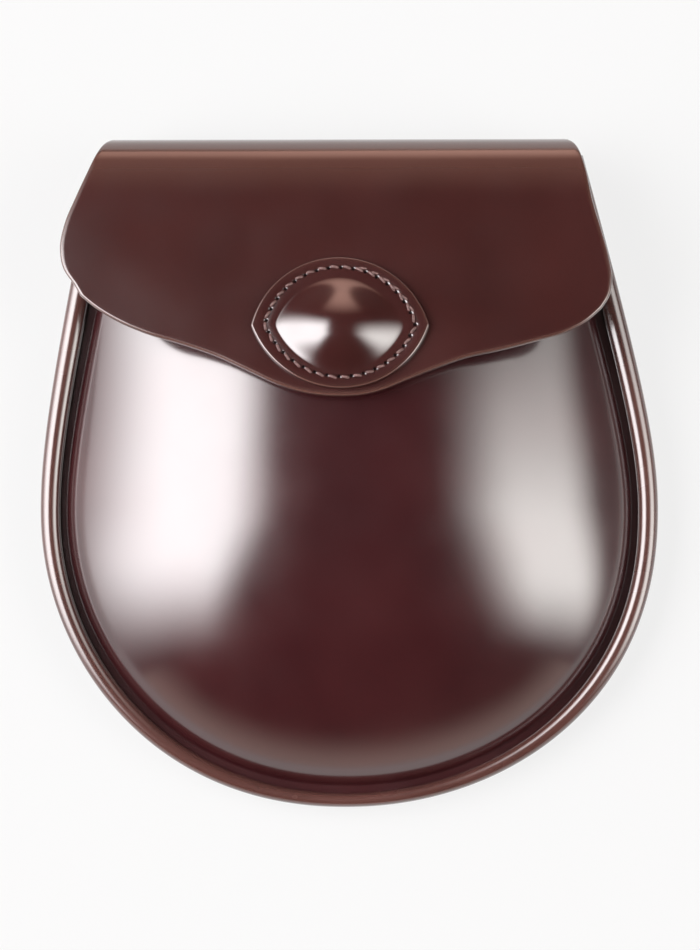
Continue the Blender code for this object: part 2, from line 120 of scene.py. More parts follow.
# %% Camera
PICTURE_HEIGHT_PX = 950
PX_PER_MM = 3.24
VIEW_DISTANCE = 2000.0
VIEW_YAW = math.radians(2.5)
VIEW_MIDDLE = (0.15, 10.8, 0.0)
FILM_HEIGHT = 36.0


def turned_to(back, up):
    """Rotation that looks against back with up upwards: its columns are right, up and back."""
    right = np.cross(up, back)
    right /= np.linalg.norm(right)
    return np.stack([right, np.cross(back, right), back], axis=1)


def place(obj, where, rotation):
    matrix = np.eye(4)
    matrix[:3, :3] = rotation
    matrix[:3, 3] = where
    obj.matrix_world = matrix.T.tolist()


to_camera = math.sin(VIEW_YAW) * pouch_axes[0] + math.cos(VIEW_YAW) * pouch_axes[2]
camera_data = bpy.data.cameras.new("front_view")
camera_data.sensor_fit = "VERTICAL"
camera_data.sensor_height = FILM_HEIGHT
camera_data.lens = FILM_HEIGHT * PX_PER_MM * VIEW_DISTANCE / PICTURE_HEIGHT_PX
camera_data.clip_end = 20.0
camera = bpy.data.objects.new("front_view", camera_data)
bpy.context.scene.collection.objects.link(camera)
place(
    camera,
    to_world(VIEW_MIDDLE) + VIEW_DISTANCE * MM * to_camera,
    turned_to(to_camera, pouch_axes[1]),
)
bpy.context.scene.camera = camera
print("lens, mm:", round(camera_data.lens, 1))

# %% [markdown]
# ## Helpers for materials
#
# Every material below is a small tree of nodes. Three helpers keep the trees short: one adds
# a node with its values, one mixes two colours, and one moves a value from one range to
# another.

# %% Helpers for nodes
scene = bpy.context.scene


def add_node(tree, kind, **values):
    """A node with the given input values and settings."""
    node = tree.nodes.new(kind)
    for key, value in values.items():
        if key in node.inputs:
            node.inputs[key].default_value = value
        else:
            setattr(node, key, value)
    return node


def mixed(tree, share, first, second):
    """A colour mix whose share and colours are sockets or plain values."""
    mix = add_node(tree, "ShaderNodeMix", data_type="RGBA")
    for socket, value in zip((mix.inputs[0], mix.inputs[6], mix.inputs[7]), (share, first, second)):
        if isinstance(value, bpy.types.NodeSocket):
            tree.links.new(value, socket)
        else:
            socket.default_value = value
    return mix.outputs[2]


def ranged(tree, value, low, high, to_low, to_high, how="LINEAR"):
    """A socket's value moved from one range to another, and held inside it."""
    node = add_node(tree, "ShaderNodeMapRange", interpolation_type=how)
    tree.links.new(value, node.inputs["Value"])
    names = ("From Min", "From Max", "To Min", "To Max")
    for name, number in zip(names, (low, high, to_low, to_high)):
        node.inputs[name].default_value = number
    return node.outputs["Result"]


def noise(tree, where, size_mm, detail=3.0, roughness=0.5):
    """Noise whose blobs are about size_mm across."""
    values = dict(Scale=1 / (size_mm * MM), Detail=detail, Roughness=roughness)
    node = add_node(tree, "ShaderNodeTexNoise", **values)
    tree.links.new(where, node.inputs["Vector"])
    return node.outputs["Fac"]


def mark(tree, name):
    """One of the marks that the points carry."""
    return add_node(tree, "ShaderNodeAttribute", attribute_name=name).outputs["Fac"]


print("helpers ready")

# %% [markdown]
# ## Floor and light
#
# Polished leather shows its light more than its colour, so the lights are shaped like the
# real ones. Two large soft sails stand on the left and right, from about 15 degrees off the
# view down to the floor. Their reflections draw the two pale fields on the dome, the two lines
# along the binding and the two spots on the boss. The right sail is weaker and stands lower.
# A dim one stands beyond the fold and adds to the pale band along it, which is also painted
# into the flap's colour as a painted highlight. Nothing bright stands behind the camera, so
# the middle of the dome and the flap stay dark. The floor is a light table: it glows evenly
# from below, which takes the shadows away.
#
# Each sail is a piece of a sphere round the pouch, measured in two angles, and its glow
# fades smoothly towards its borders, as a soft box's cloth does.

# %% Floor
scene.view_settings.view_transform = "Standard"

FLOOR_HALF = 5.0
FLOOR_GREY = 0.08
FLOOR_GLOW = 0.79
floor_mesh = bpy.data.meshes.new("floor")
floor_corners = FLOOR_HALF * np.array([(-1, -1, 0), (1, -1, 0), (1, 1, 0), (-1, 1, 0)])
floor_mesh.from_pydata(floor_corners.tolist(), [], [(0, 1, 2, 3)])
floor = bpy.data.objects.new("floor", floor_mesh)
scene.collection.objects.link(floor)
floor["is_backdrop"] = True

floor_paint = bpy.data.materials.new("pale_floor")
floor_paint.use_nodes = True
floor_shader = floor_paint.node_tree.nodes["Principled BSDF"]
floor_shader.inputs["Base Color"].default_value = (FLOOR_GREY, FLOOR_GREY, FLOOR_GREY, 1)
floor_shader.inputs["Roughness"].default_value = 0.9
floor_shader.inputs["Specular IOR Level"].default_value = 0.0
floor_shader.inputs["Emission Color"].default_value = (1, 1, 1, 1)
floor_shader.inputs["Emission Strength"].default_value = FLOOR_GLOW
floor_mesh.materials.append(floor_paint)

# %% Soft sails
SAIL_DISTANCE = 2800.0
SAIL_COLUMNS, SAIL_ROWS = 60, 40
SAIL_LIMIT = 88.5


def smooth(value, low, high):
    """0 below low, 1 above high, and t^2 x (3 - 2t) between."""
    t = np.clip((value - low) / (high - low), 0, 1)
    return t * t * (3 - 2 * t)


def grid_quads(rows, columns, loop=False):
    """Index quads of a grid, row by row: each joins a point to the one below it and to the
    two beside them, and loop joins the last column to the first."""
    index = np.arange(rows * columns).reshape(rows, columns)
    if loop:
        index = np.concatenate([index, index[:, :1]], axis=1)
    corners = (index[:-1, :-1], index[1:, :-1], index[1:, 1:], index[:-1, 1:])
    return np.stack([c.ravel() for c in corners], axis=1)


def soft_sail(name, across, upwards, lean, power, colour):
    """Piece of a sphere round the view's middle: middle + distance x (sin a x cos b, sin b,
    cos a x cos b), for a from the view axis towards +X and b towards the fold, in degrees.
    Its glow is smooth steps in a and b multiplied: each of across and upwards lists where it
    starts, is full, begins to fade and has faded, and what share is left there. Below b = 0
    the steps of a move out by lean degrees for each degree."""
    side = math.copysign(1, across[3])
    last = max(side * across[3], side * across[0]) if across[4] == 0 else SAIL_LIMIT
    a = np.linspace(across[0], last * side, SAIL_COLUMNS)
    a, b = np.meshgrid(a, np.linspace(upwards[0], min(upwards[3], SAIL_LIMIT), SAIL_ROWS))
    shifted = side * a - lean * np.clip(-b, 0, None)
    steps = [side * step for step in across[:4]]
    glow = smooth(shifted, *steps[:2]) * (1 - (1 - across[4]) * smooth(shifted, *steps[2:]))
    glow = glow * smooth(b, *upwards[:2]) * (1 - (1 - upwards[4]) * smooth(b, *upwards[2:4]))
    a, b = np.radians(a), np.radians(b)
    points = np.dstack([np.sin(a) * np.cos(b), np.sin(b), np.cos(a) * np.cos(b)])
    points = SAIL_DISTANCE * points + VIEW_MIDDLE
    quads = grid_quads(*a.shape)
    mesh = bpy.data.meshes.new(name)
    mesh.from_pydata(to_world(points.reshape(-1, 3)).tolist(), [], quads.tolist())
    layer = mesh.attributes.new("glow", "FLOAT", "POINT")
    layer.data.foreach_set("value", glow.astype(np.float32).ravel())
    sail = bpy.data.objects.new(name, mesh)
    scene.collection.objects.link(sail)
    cloth = bpy.data.materials.new(name)
    cloth.use_nodes = True
    tree = cloth.node_tree
    tree.nodes.remove(tree.nodes["Principled BSDF"])
    light = add_node(tree, "ShaderNodeEmission", Color=(*colour, 1))
    tree.links.new(ranged(tree, mark(tree, "glow"), 0, 1, 0, power), light.inputs["Strength"])
    tree.links.new(light.outputs[0], tree.nodes["Material Output"].inputs["Surface"])
    mesh.materials.append(cloth)
    sail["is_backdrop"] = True


LEFT_REACH, LEFT_HEIGHT = (-15, -29, -46, -90, 0.22), (-38, -8, 18, 48, 0)
RIGHT_REACH, RIGHT_HEIGHT = (16, 42, 58, 77, 0.04), (-37, -14, -8, 40, 0)
FOLD_REACH, FOLD_HEIGHT = (-52, -34, 34, 52, 0), (50, 84, 88, 90, 1)
soft_sail("left_sail", LEFT_REACH, LEFT_HEIGHT, 0.55, 10.2, (1.0, 0.97, 0.98))
soft_sail("right_sail", RIGHT_REACH, RIGHT_HEIGHT, 0.60, 7.4, (1.0, 0.98, 0.95))
soft_sail("fold_sail", FOLD_REACH, FOLD_HEIGHT, 0.0, 2.6, (1.0, 0.60, 0.48))

# %% Surroundings
surroundings = bpy.data.worlds.new("dim_studio")
scene.world = surroundings
surroundings.use_nodes = True
sky = surroundings.node_tree
sky_place = add_node(sky, "ShaderNodeTexCoord").outputs["Generated"]
sky_parts = add_node(sky, "ShaderNodeSeparateXYZ")
sky.links.new(sky_place, sky_parts.inputs[0])
low_down = ranged(sky, sky_parts.outputs["Z"], 0.03, 0.36, 1.0, 0.0, "SMOOTHSTEP")
below_pouch = ranged(sky, sky_parts.outputs["Y"], 0.25, -0.25, 0.10, 0.95, "SMOOTHSTEP")
glow = add_node(sky, "ShaderNodeMath", operation="MULTIPLY_ADD")
sky.links.new(low_down, glow.inputs[0])
sky.links.new(below_pouch, glow.inputs[1])
glow.inputs[2].default_value = 0.03
studio_air = sky.nodes["Background"]
studio_air.inputs["Color"].default_value = (1.0, 0.78, 0.68, 1)
sky.links.new(glow.outputs[0], studio_air.inputs["Strength"])

# %% [markdown]
# ## Surfaces from arrays
#
# Each leather piece is one sheet with a thickness. Blender could thicken it with a Solidify
# modifier and round its edge with a Bevel, but a bevel's width is limited by the smallest
# cell next to it. Here the sheet is worked out instead: the outer face is a grid of points,
# the inner face is the same grid moved back along its normals, and a row of half ellipses
# joins the two rims. That gives the full, slightly rounded cut edge of thick leather, and it
# marks each point's distance from the edge, so that the materials know where leather wears.

# %% Helpers for grids, sheets and pieces
WEAR_REACH = 0.7


def unit(vectors):
    return vectors / np.maximum(np.linalg.norm(vectors, axis=-1, keepdims=True), 1e-12)


def welded(points, quads, rim):
    """Points that share a place to a hundredth of a millimetre become one."""
    _, first, where = np.unique(
        np.round(points, 2), axis=0, return_index=True, return_inverse=True
    )
    where = where.ravel()
    return points[first], where[quads], where[rim], first


def point_normals(points, quads):
    """Unit normal at each point: the sum of its quads' normals, each the cross product of
    the quad's diagonals."""
    corner = points[quads]
    flat = np.cross(corner[:, 2] - corner[:, 0], corner[:, 3] - corner[:, 1])
    total = np.zeros_like(points)
    for k in range(4):
        np.add.at(total, quads[:, k], flat)
    return unit(total)


def rim_distance(points, rim):
    """Distance of each point from the nearest point of the rim: sqrt of p.p + q.q - 2 p.q."""
    p, q = points.astype(np.float32), points[rim].astype(np.float32)
    square = (p**2).sum(axis=1)[:, None] + (q**2).sum(axis=1) - 2 * p @ q.T
    return np.sqrt(np.clip(square.min(axis=1), 0, None))


def leather_sheet(points, quads, rim, thickness, bulge, ring_count=7):
    """A closed sheet: outer face as given, inner face = outer - normal x thickness, and
    between the rims half ellipses: rim + outwards x bulge x sin(a) - normal x thickness/2 x
    (1 - cos(a)), for a from 0 to 180 degrees. The rim runs counter-clockwise seen from
    outside. Returns points, quads and the edge and wear marks."""
    count = len(points)
    normal = point_normals(points, quads)
    start = points[rim]
    forward = unit(np.roll(start, -1, axis=0) - np.roll(start, 1, axis=0))
    outwards = unit(np.cross(forward, normal[rim]))
    a = np.linspace(0, math.pi, ring_count + 1)[1:-1, None, None]
    rings = start + outwards * bulge * np.sin(a) - normal[rim] * thickness / 2 * (1 - np.cos(a))
    ring_index = 2 * count + np.arange(rings[..., 0].size).reshape(ring_count - 1, -1)
    rows = np.concatenate([rim[None], ring_index, count + rim[None]])
    following = np.roll(rows, -1, axis=1)
    strip = (rows[:-1], rows[1:], following[1:], following[:-1])
    strip = np.stack([s.ravel() for s in strip], axis=1)
    every = np.concatenate([points, points - normal * thickness, rings.reshape(-1, 3)])
    faces = np.concatenate([quads, count + quads[:, ::-1], strip])
    near = np.exp(-rim_distance(points, rim) / WEAR_REACH)
    wear = np.concatenate([near, near, np.ones(rings[..., 0].size)])
    edge = np.concatenate([np.zeros(2 * count), np.ones(rings[..., 0].size)])
    edge[rim] = edge[count + rim] = 0.5
    return every, faces, {"wear": wear, "edge": edge}


def make_piece(name, points, quads, marks=None):
    """A mesh object of points in pouch millimetres, with a float attribute for each mark."""
    mesh = bpy.data.meshes.new(name)
    mesh.vertices.add(len(points))
    mesh.vertices.foreach_set("co", to_world(points).astype(np.float32).ravel())
    mesh.loops.add(quads.size)
    mesh.loops.foreach_set("vertex_index", quads.astype(np.int32).ravel())
    mesh.polygons.add(len(quads))
    mesh.polygons.foreach_set("loop_start", np.arange(0, quads.size, 4, dtype=np.int32))
    mesh.update(calc_edges=True)
    mesh.validate()
    for label, values in (marks or {}).items():
        layer = mesh.attributes.new(label, "FLOAT", "POINT")
        layer.data.foreach_set("value", np.asarray(values, np.float32).ravel())
    mesh.shade_smooth()
    piece = bpy.data.objects.new(name, mesh)
    scene.collection.objects.link(piece)
    return piece


def sharpen(piece, picked):
    """Marks as sharp every edge whose two ends are both picked."""
    ends = np.empty(2 * len(piece.data.edges), np.int32)
    piece.data.edges.foreach_get("vertices", ends)
    layer = piece.data.attributes.new("sharp_edge", "BOOLEAN", "EDGE")
    layer.data.foreach_set("value", picked[ends.reshape(-1, 2)].all(axis=1))


def fit_out(piece, material, slot, *nodes):
    """Gives a finished piece its material and body, hides the solids it stands for, and prints its
    size; the slot argument is not used.
    """
    piece.data.materials.append(material)
    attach(piece, "root")
    if nodes:
        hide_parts(*nodes)
    low, high = np.array(piece.bound_box).min(axis=0), np.array(piece.bound_box).max(axis=0)
    print(piece.name, len(piece.data.polygons), "faces,", np.round((high - low) / MM, 1), "mm")


def waves(x, y, size, seed, count=9):
    """Soft unevenness between about -1 and 1: the mean of cosine waves of about one size,
    each with its own seeded direction, length and phase."""
    rng = np.random.default_rng(seed)
    heading = rng.uniform(0, 2 * math.pi, count)
    length = size * rng.uniform(0.7, 1.5, count)
    phase = rng.uniform(0, 2 * math.pi, count)
    along = x[..., None] * np.cos(heading) + y[..., None] * np.sin(heading)
    return np.cos(2 * math.pi * along / length + phase).mean(axis=-1) * 2


# %% [markdown]
# ## Leather, thread and brass
#
# Polished bridle leather is a dark red-brown, mottled very softly, with fine pores and a waxed
# finish that reflects clearly. Its cut edges are burnished: darker inside, paler and smoother
# where they are rubbed. One function makes every leather from nodes. Noise on Object
# coordinates drives the mottling, the pores and the roughness, because the pieces have no
# seams to hide then, and the marks on the points pick out edges and wear, and also painted
# shade and a painted highlight.

# %% A function that makes leather
CLOUD_SIZE, FLECK_SIZE, SMUDGE_SIZE, GRAIN_SIZE = 30.0, 2.5, 14.0, 2.2
GRAIN_DEPTH = 0.04
# A near-black brown for painted shade in the groove, the stitch holes and the binding's inner side.
PAINTED_SHADE_BROWN = (0.004, 0.002, 0.002, 1)
WAX_IOR = 1.65
WAX_ROUGHNESS = 0.13


def make_leather(name, dark, light, edge, gloss, coat, pores=0.4):
    """Leather with mottling between two colours, a burnished edge colour, a painted shade colour
    where the dark mark is set, pores and wax.
    """
    material = bpy.data.materials.new(name)
    material.use_nodes = True
    tree = material.node_tree
    shader = tree.nodes["Principled BSDF"]
    where = add_node(tree, "ShaderNodeTexCoord").outputs["Object"]
    worn, cut, painted_shade = mark(tree, "wear"), mark(tree, "edge"), mark(tree, "dark")
    cloud = noise(tree, where, CLOUD_SIZE, 2.0, 0.4)
    fleck = noise(tree, where, FLECK_SIZE, 2.0)
    colour = mixed(tree, ranged(tree, cloud, 0.15, 0.85, 0.0, 1.0), (*dark, 1), (*light, 1))
    colour = mixed(tree, ranged(tree, fleck, 0.2, 0.8, 0.0, 0.3), colour, (*light, 1))
    colour = mixed(tree, ranged(tree, worn, 0.2, 1.0, 0.0, 0.35), colour, (*edge, 1))
    colour = mixed(tree, cut, colour, (*edge, 1))
    # Where the dark mark is set, the colour goes to the near-black brown: painted shade.
    colour = mixed(tree, painted_shade, colour, PAINTED_SHADE_BROWN)
    tree.links.new(colour, shader.inputs["Base Color"])
    smudge = noise(tree, where, SMUDGE_SIZE, 2.0)
    polish = ranged(tree, smudge, 0.1, 0.9, gloss - 0.05, gloss + 0.06)
    tree.links.new(polish, shader.inputs["Roughness"])
    grain = noise(tree, where, GRAIN_SIZE, 2.0)
    bump = add_node(tree, "ShaderNodeBump", Strength=pores, Distance=GRAIN_DEPTH * MM)
    tree.links.new(grain, bump.inputs["Height"])
    tree.links.new(bump.outputs["Normal"], shader.inputs["Normal"])
    shader.inputs["IOR"].default_value = 1.5
    shader.inputs["Coat Weight"].default_value = coat
    shader.inputs["Coat IOR"].default_value = WAX_IOR
    shader.inputs["Coat Roughness"].default_value = WAX_ROUGHNESS
    return material


EDGE_BROWN = (0.070, 0.030, 0.023)
front_leather = make_leather(
    "front_leather", (0.018, 0.0030, 0.0042), (0.038, 0.0078, 0.0088), EDGE_BROWN, 0.22, 1.0
)
flap_leather = make_leather(
    "flap_leather", (0.020, 0.0046, 0.0043), (0.040, 0.0100, 0.0090), EDGE_BROWN, 0.23, 0.8
)
patch_leather = make_leather(
    "patch_leather", (0.019, 0.0045, 0.0043), (0.038, 0.0098, 0.0088), EDGE_BROWN, 0.21, 1.0
)
# The binding's browns are paler than the front's: painted light, standing in for the floor's light
# on the roll.
rim_leather = make_leather(
    "rim_leather", (0.045, 0.0170, 0.0140), (0.078, 0.0310, 0.0255), EDGE_BROWN, 0.25, 0.9
)
back_leather = make_leather(
    "back_leather", (0.045, 0.0150, 0.0120), (0.068, 0.0240, 0.0190), EDGE_BROWN, 0.45, 0.2, 0.8
)
loop_leather = make_leather(
    "loop_leather", (0.042, 0.0135, 0.0110), (0.064, 0.0220, 0.0175), EDGE_BROWN, 0.40, 0.2, 0.8
)
print("leathers:", [m.name for m in bpy.data.materials if "leather" in m.name])

# %% Thread and brass
def make_thread(name, dark, light):
    """Waxed thread: two browns in short bands across each stitch, as its twist shows them."""
    material = bpy.data.materials.new(name)
    material.use_nodes = True
    tree = material.node_tree
    shader = tree.nodes["Principled BSDF"]
    where = add_node(tree, "ShaderNodeTexCoord").outputs["Object"]
    twist = noise(tree, where, 0.5, 1.0)
    colour = mixed(tree, ranged(tree, twist, 0.35, 0.65, 0.0, 1.0), (*dark, 1), (*light, 1))
    tree.links.new(colour, shader.inputs["Base Color"])
    shader.inputs["Roughness"].default_value = 0.55
    return material


thread = make_thread("waxed_thread", (0.070, 0.034, 0.031), (0.160, 0.090, 0.082))
hole_shade = bpy.data.materials.new("hole_shade")
hole_shade.use_nodes = True
hole_shader = hole_shade.node_tree.nodes["Principled BSDF"]
hole_shader.inputs["Base Color"].default_value = (0.005, 0.003, 0.003, 1)
hole_shader.inputs["Roughness"].default_value = 1.0
hole_shader.inputs["Specular IOR Level"].default_value = 0.0

brass = bpy.data.materials.new("stud_brass")
brass.use_nodes = True
brass_tree = brass.node_tree
brass_shader = brass_tree.nodes["Principled BSDF"]
brass_shader.inputs["Metallic"].default_value = 1.0
brass_place = add_node(brass_tree, "ShaderNodeTexCoord").outputs["Object"]
brass_cloud = noise(brass_tree, brass_place, 2.0, 3.0)
brass_colour = mixed(brass_tree, brass_cloud, (0.52, 0.34, 0.13, 1), (0.72, 0.52, 0.24, 1))
brass_tree.links.new(brass_colour, brass_shader.inputs["Base Color"])
brass_polish = ranged(brass_tree, brass_cloud, 0.3, 0.7, 0.22, 0.42)
brass_tree.links.new(brass_polish, brass_shader.inputs["Roughness"])
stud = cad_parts["closure_stud"]
stud.data.materials.clear()
stud.data.materials.append(brass)
print("thread and brass made")

# %% [markdown]
# ## The outline
#
# Seen from the front, the sides lean in towards the top and the bottom is a full round. The
# side is a hyperbola, which leaves the widest line upright and comes to lean by a fixed
# slope. The bottom is a superellipse, a little fuller than a true ellipse. The real pouch
# isn't quite even: its middle line leans left towards the fold and swings a little below.

# %% Outline functions
BODY_HALF_WIDTH = 95.1
BOTTOM_ROUNDNESS = 2.09
SIDE_TAPER = 0.245
TAPER_SOFTNESS = 32.0
SWAY = 0.038
SWING = 6.8
SWING_CROSSING = 0.8
SIDE_STEPS = 90
BOTTOM_STEPS = 120


def side_half_width(y, half_width=BODY_HALF_WIDTH):
    """half width - taper x (sqrt(y^2 + softness^2) - softness)"""
    return half_width - SIDE_TAPER * (np.hypot(y, TAPER_SOFTNESS) - TAPER_SOFTNESS)


def sway(points):
    """Moves points left by sway x (sqrt(y^2 + softness^2) - softness) above the widest line,
    and right by swing x depth^2 x (crossing - depth) below it."""
    moved = np.array(points, float)
    height = np.clip(moved[..., 1], 0, None)
    moved[..., 0] -= SWAY * (np.hypot(height, TAPER_SOFTNESS) - TAPER_SOFTNESS)
    depth = np.clip(-moved[..., 1] / BODY_BOTTOM, 0, None)
    moved[..., 0] += SWING * depth**2 * (SWING_CROSSING - depth)
    return moved


def half_outline(top, half_width, bottom, inset_at=None):
    """Left half of an outline, from its top down the side and round to the bottom middle:
    x = -half width x cos(turn)^p and y = -bottom x sin(turn)^p below the widest line."""
    y = np.linspace(top, 0, SIDE_STEPS, endpoint=False)
    inset = inset_at(y) - inset_at(0.0) if inset_at else 0.0
    side = np.stack([inset - side_half_width(y, half_width), y], axis=1)
    turn = np.linspace(0, math.pi / 2, BOTTOM_STEPS + 1)
    power = 2 / BOTTOM_ROUNDNESS
    across = np.clip(np.cos(turn), 0, None) ** power
    across[-1] = 0.0
    down = np.sin(turn) ** power
    return np.concatenate([side, np.stack([-half_width * across, -bottom * down], axis=1)])


def mirrored(left):
    return np.concatenate([left, (left * (-1, 1))[-2::-1]])


def rim_outline(top, inset):
    """The rim moved inwards, square to itself, by one distance or by one for each point."""
    rim = mirrored(half_outline(top, BODY_HALF_WIDTH, BODY_BOTTOM))
    along = unit(np.gradient(rim, axis=0))
    inwards = np.stack([-along[:, 1], along[:, 0]], axis=1)
    moved = rim + inwards * np.broadcast_to(inset, len(rim))[:, None]
    moved[[0, -1], 1] = top
    return moved


print("outline points:", len(rim_outline(BODY_TOP, 0.0)))

# %% [markdown]
# ## The flap's line and the dome's height
#
# The flap leaves the fold at a slope and is level over the fullest place of the dome, so one
# cubic gives its height. The dome follows a fixed distance under it, times a pillow that is
# full in the middle and falls steeply to nothing at the dome's edge.

# %% Heights of flap and dome
BODY_LEATHER = 2.4
SEAM_GAP = 0.3
FLANGE_FRONT = 2 * BODY_LEATHER + SEAM_GAP
FOLD_ROOM = 2.5
FOLD_DEPTH = 24.0
FOLD_BACK_RADIUS = 6.0
FOLD_FRONT_RADIUS = 12.0
FOLD_LEAN = math.radians(20.0)
FLAP_TOP = BODY_TOP + FOLD_ROOM + BODY_LEATHER
FLAP_BACK_FACE = -(SEAM_GAP + BODY_LEATHER)
FLAP_LIFT = 4.0
DOME_DEPTH = 32.0
DOME_FLATNESS = 2.4
DOME_FULLNESS = 0.85
ROLL_WIDTH = 5.9
# share of the way from the mouth to the bottom, share of ROLL_WIDTH
ROLL_STATIONS = ((0.00, 1.154), (0.24, 1.09), (0.50, 1.00), (1.00, 0.71))
GROOVE_TOP, GROOVE_SIDE, GROOVE_BOTTOM = 4.3, 2.1, 2.41
DOME_INSET_TOP = ROLL_WIDTH * ROLL_STATIONS[0][1] + GROOVE_TOP
DOME_INSET_SIDE = ROLL_WIDTH + GROOVE_SIDE
DOME_INSET_BOTTOM = ROLL_WIDTH * ROLL_STATIONS[-1][1] + GROOVE_BOTTOM
GROOVE_GROWTH = 1.3


def fold_front_centre():
    return FLAP_TOP - FOLD_FRONT_RADIUS, FLAP_BACK_FACE + FOLD_DEPTH - FOLD_FRONT_RADIUS


def flap_front_ends():
    """Y and Z where the flap leaves the fold, its slope times that Y, and its rise from there."""
    centre_y, centre_z = fold_front_centre()
    start_y = centre_y + FOLD_FRONT_RADIUS * math.sin(FOLD_LEAN)
    start_z = centre_z + FOLD_FRONT_RADIUS * math.cos(FOLD_LEAN)
    top_z = FLANGE_FRONT + DOME_DEPTH + FLAP_LIFT + BODY_LEATHER
    return start_y, start_z, start_y * math.tan(FOLD_LEAN), top_z - start_z


def flap_front_curve(y):
    """start z + leave x t x (1 - t)^2 + rise x t^2 x (3 - 2t), with t = 1 - y / start y"""
    start_y, start_z, leave, rise = flap_front_ends()
    t = 1 - np.asarray(y, float) / start_y
    return start_z + leave * t * (1 - t) ** 2 + rise * t * t * (3 - 2 * t)


def flap_front_slope(y):
    start_y, _, leave, rise = flap_front_ends()
    t = 1 - np.asarray(y, float) / start_y
    return (leave * (1 - t) * (1 - 3 * t) + 6 * rise * t * (1 - t)) / start_y


def dome_inset(y):
    share = np.clip(y / BODY_TOP, 0, None) ** GROOVE_GROWTH
    return DOME_INSET_SIDE + (DOME_INSET_TOP - DOME_INSET_SIDE) * share


def front_height(x, y):
    """flange + crown(y) x (1 - out^flatness)^fullness, where out is the share of the way from
    the middle to the dome's edge: along x above the widest line, radial below it."""
    crown = flap_front_curve(np.clip(y, 0, None)) - BODY_LEATHER - FLAP_LIFT - FLANGE_FRONT
    upper = np.abs(x) / (side_half_width(y) - dome_inset(y))
    n = BOTTOM_ROUNDNESS
    across = np.abs(x) / (BODY_HALF_WIDTH - DOME_INSET_SIDE)
    down = np.abs(y) / (BODY_BOTTOM - DOME_INSET_BOTTOM)
    lower = (across**n + down**n) ** (1 / n)
    out = np.clip(np.where(y > 0, upper, lower), 0, 1)
    return FLANGE_FRONT + crown * (1 - out**DOME_FLATNESS) ** DOME_FULLNESS


print("dome height over the back, mm:", round(float(front_height(0.0, 0.0)), 1))

# %% [markdown]
# ## The moulded front
#
# The front is a single piece of leather pressed wet over a form: a deep dome with a narrow
# flat flange round it for the binding. Its grid fans out from the middle line to the dome's
# edge, with the rows crowded there, and then crosses the flange. The fold at the dome's foot
# is kept sharp, and the groove there is painted dark as shade, less so towards the bottom.

# %% Front panel
MOUTH_STEP = 5.0
FRONT_TOP = BODY_TOP - MOUTH_STEP
MIDRIB_SHARE = 0.45
DOME_CROWDING = 1.5
DOME_ROWS = 56
FLANGE_ROWS = 5
EDGE_BULGE = 0.7
DOME_UNEVENNESS = 0.16
GROOVE_SHADE = 1.1
# Between these heights the painted shade in the groove and on the binding grows from weak, at the
# bottom, to full.
SHADE_FADE_HEIGHTS = (-85.0, -35.0)


def middle_line(top):
    """Where the grid fans out from: down the middle and, for the right half, back up."""
    heights = np.linspace(top - EDGE_BULGE, 0, SIDE_STEPS, endpoint=False)
    low = np.linspace(0, -MIDRIB_SHARE * BODY_BOTTOM, BOTTOM_STEPS + 1)
    down = np.concatenate([heights, low])
    return mirrored(np.stack([np.zeros_like(down), down], axis=1))


def fan_grid(plan, height):
    """Points, quads and rim of a grid that fans out from the middle line, welded there. The
    rim runs round the bottom from the left mouth corner, then back along the mouth."""
    rows, columns = height.shape
    index = np.arange(rows * columns).reshape(rows, columns)
    rim = np.concatenate([index[-1], index[-2::-1, -1], index[1:-1, 0]])
    points = sway(np.dstack([plan, height])).reshape(-1, 3)
    return welded(points, grid_quads(rows, columns), rim)


def front_plan():
    """Plan positions: middle line + (dome edge - middle line) x (1 - (1 - s)^1.5), then the
    flange in even steps to its cut edge."""
    flange = rim_outline(FRONT_TOP - EDGE_BULGE, PANEL_INSET + EDGE_BULGE)
    dome_edge = mirrored(
        half_outline(
            FRONT_TOP - EDGE_BULGE,
            BODY_HALF_WIDTH - DOME_INSET_SIDE,
            BODY_BOTTOM - DOME_INSET_BOTTOM,
            dome_inset,
        )
    )
    midrib = middle_line(FRONT_TOP)
    outwards = (1 - np.linspace(1, 0, DOME_ROWS + 1) ** DOME_CROWDING)[:, None, None]
    across = np.linspace(0, 1, FLANGE_ROWS + 1)[1:, None, None]
    dome = midrib + (dome_edge - midrib) * outwards
    return np.concatenate([dome, dome_edge + (flange - dome_edge) * across])


plan = front_plan()
height = front_height(plan[..., 0], plan[..., 1])
height[DOME_ROWS:] = FLANGE_FRONT
rise = (height - FLANGE_FRONT) / DOME_DEPTH
height += DOME_UNEVENNESS * waves(plan[..., 0], plan[..., 1], 42.0, 5) * np.sqrt(rise)
*front_grid, kept = fan_grid(plan, height)
points, quads, marks = leather_sheet(*front_grid, BODY_LEATHER, EDGE_BULGE)
row_of = np.repeat(np.arange(height.shape[0]), height.shape[1])[kept]
above_foot = np.linalg.norm(plan[:-FLANGE_ROWS] - plan[DOME_ROWS], axis=2)
on_flange = np.ones((FLANGE_ROWS, height.shape[1]))
groove = np.concatenate([np.exp(-above_foot / GROOVE_SHADE), on_flange])
# The dome's foot and the flange are painted dark as shade, less so towards the bottom.
marks["dark"] = np.zeros(len(points))
groove_shade_strength = 0.10 + 0.55 * smooth(plan[..., 1], *SHADE_FADE_HEIGHTS)
marks["dark"][: len(kept)] = (groove_shade_strength * groove).ravel()[kept]
front = make_piece("front_leather", points, quads, marks)
on_foot = np.zeros(len(points), bool)
on_foot[: 2 * len(kept)] = np.tile(row_of == DOME_ROWS, 2)
sharpen(front, on_foot)
fit_out(front, front_leather, "front_leather", "front_panel")

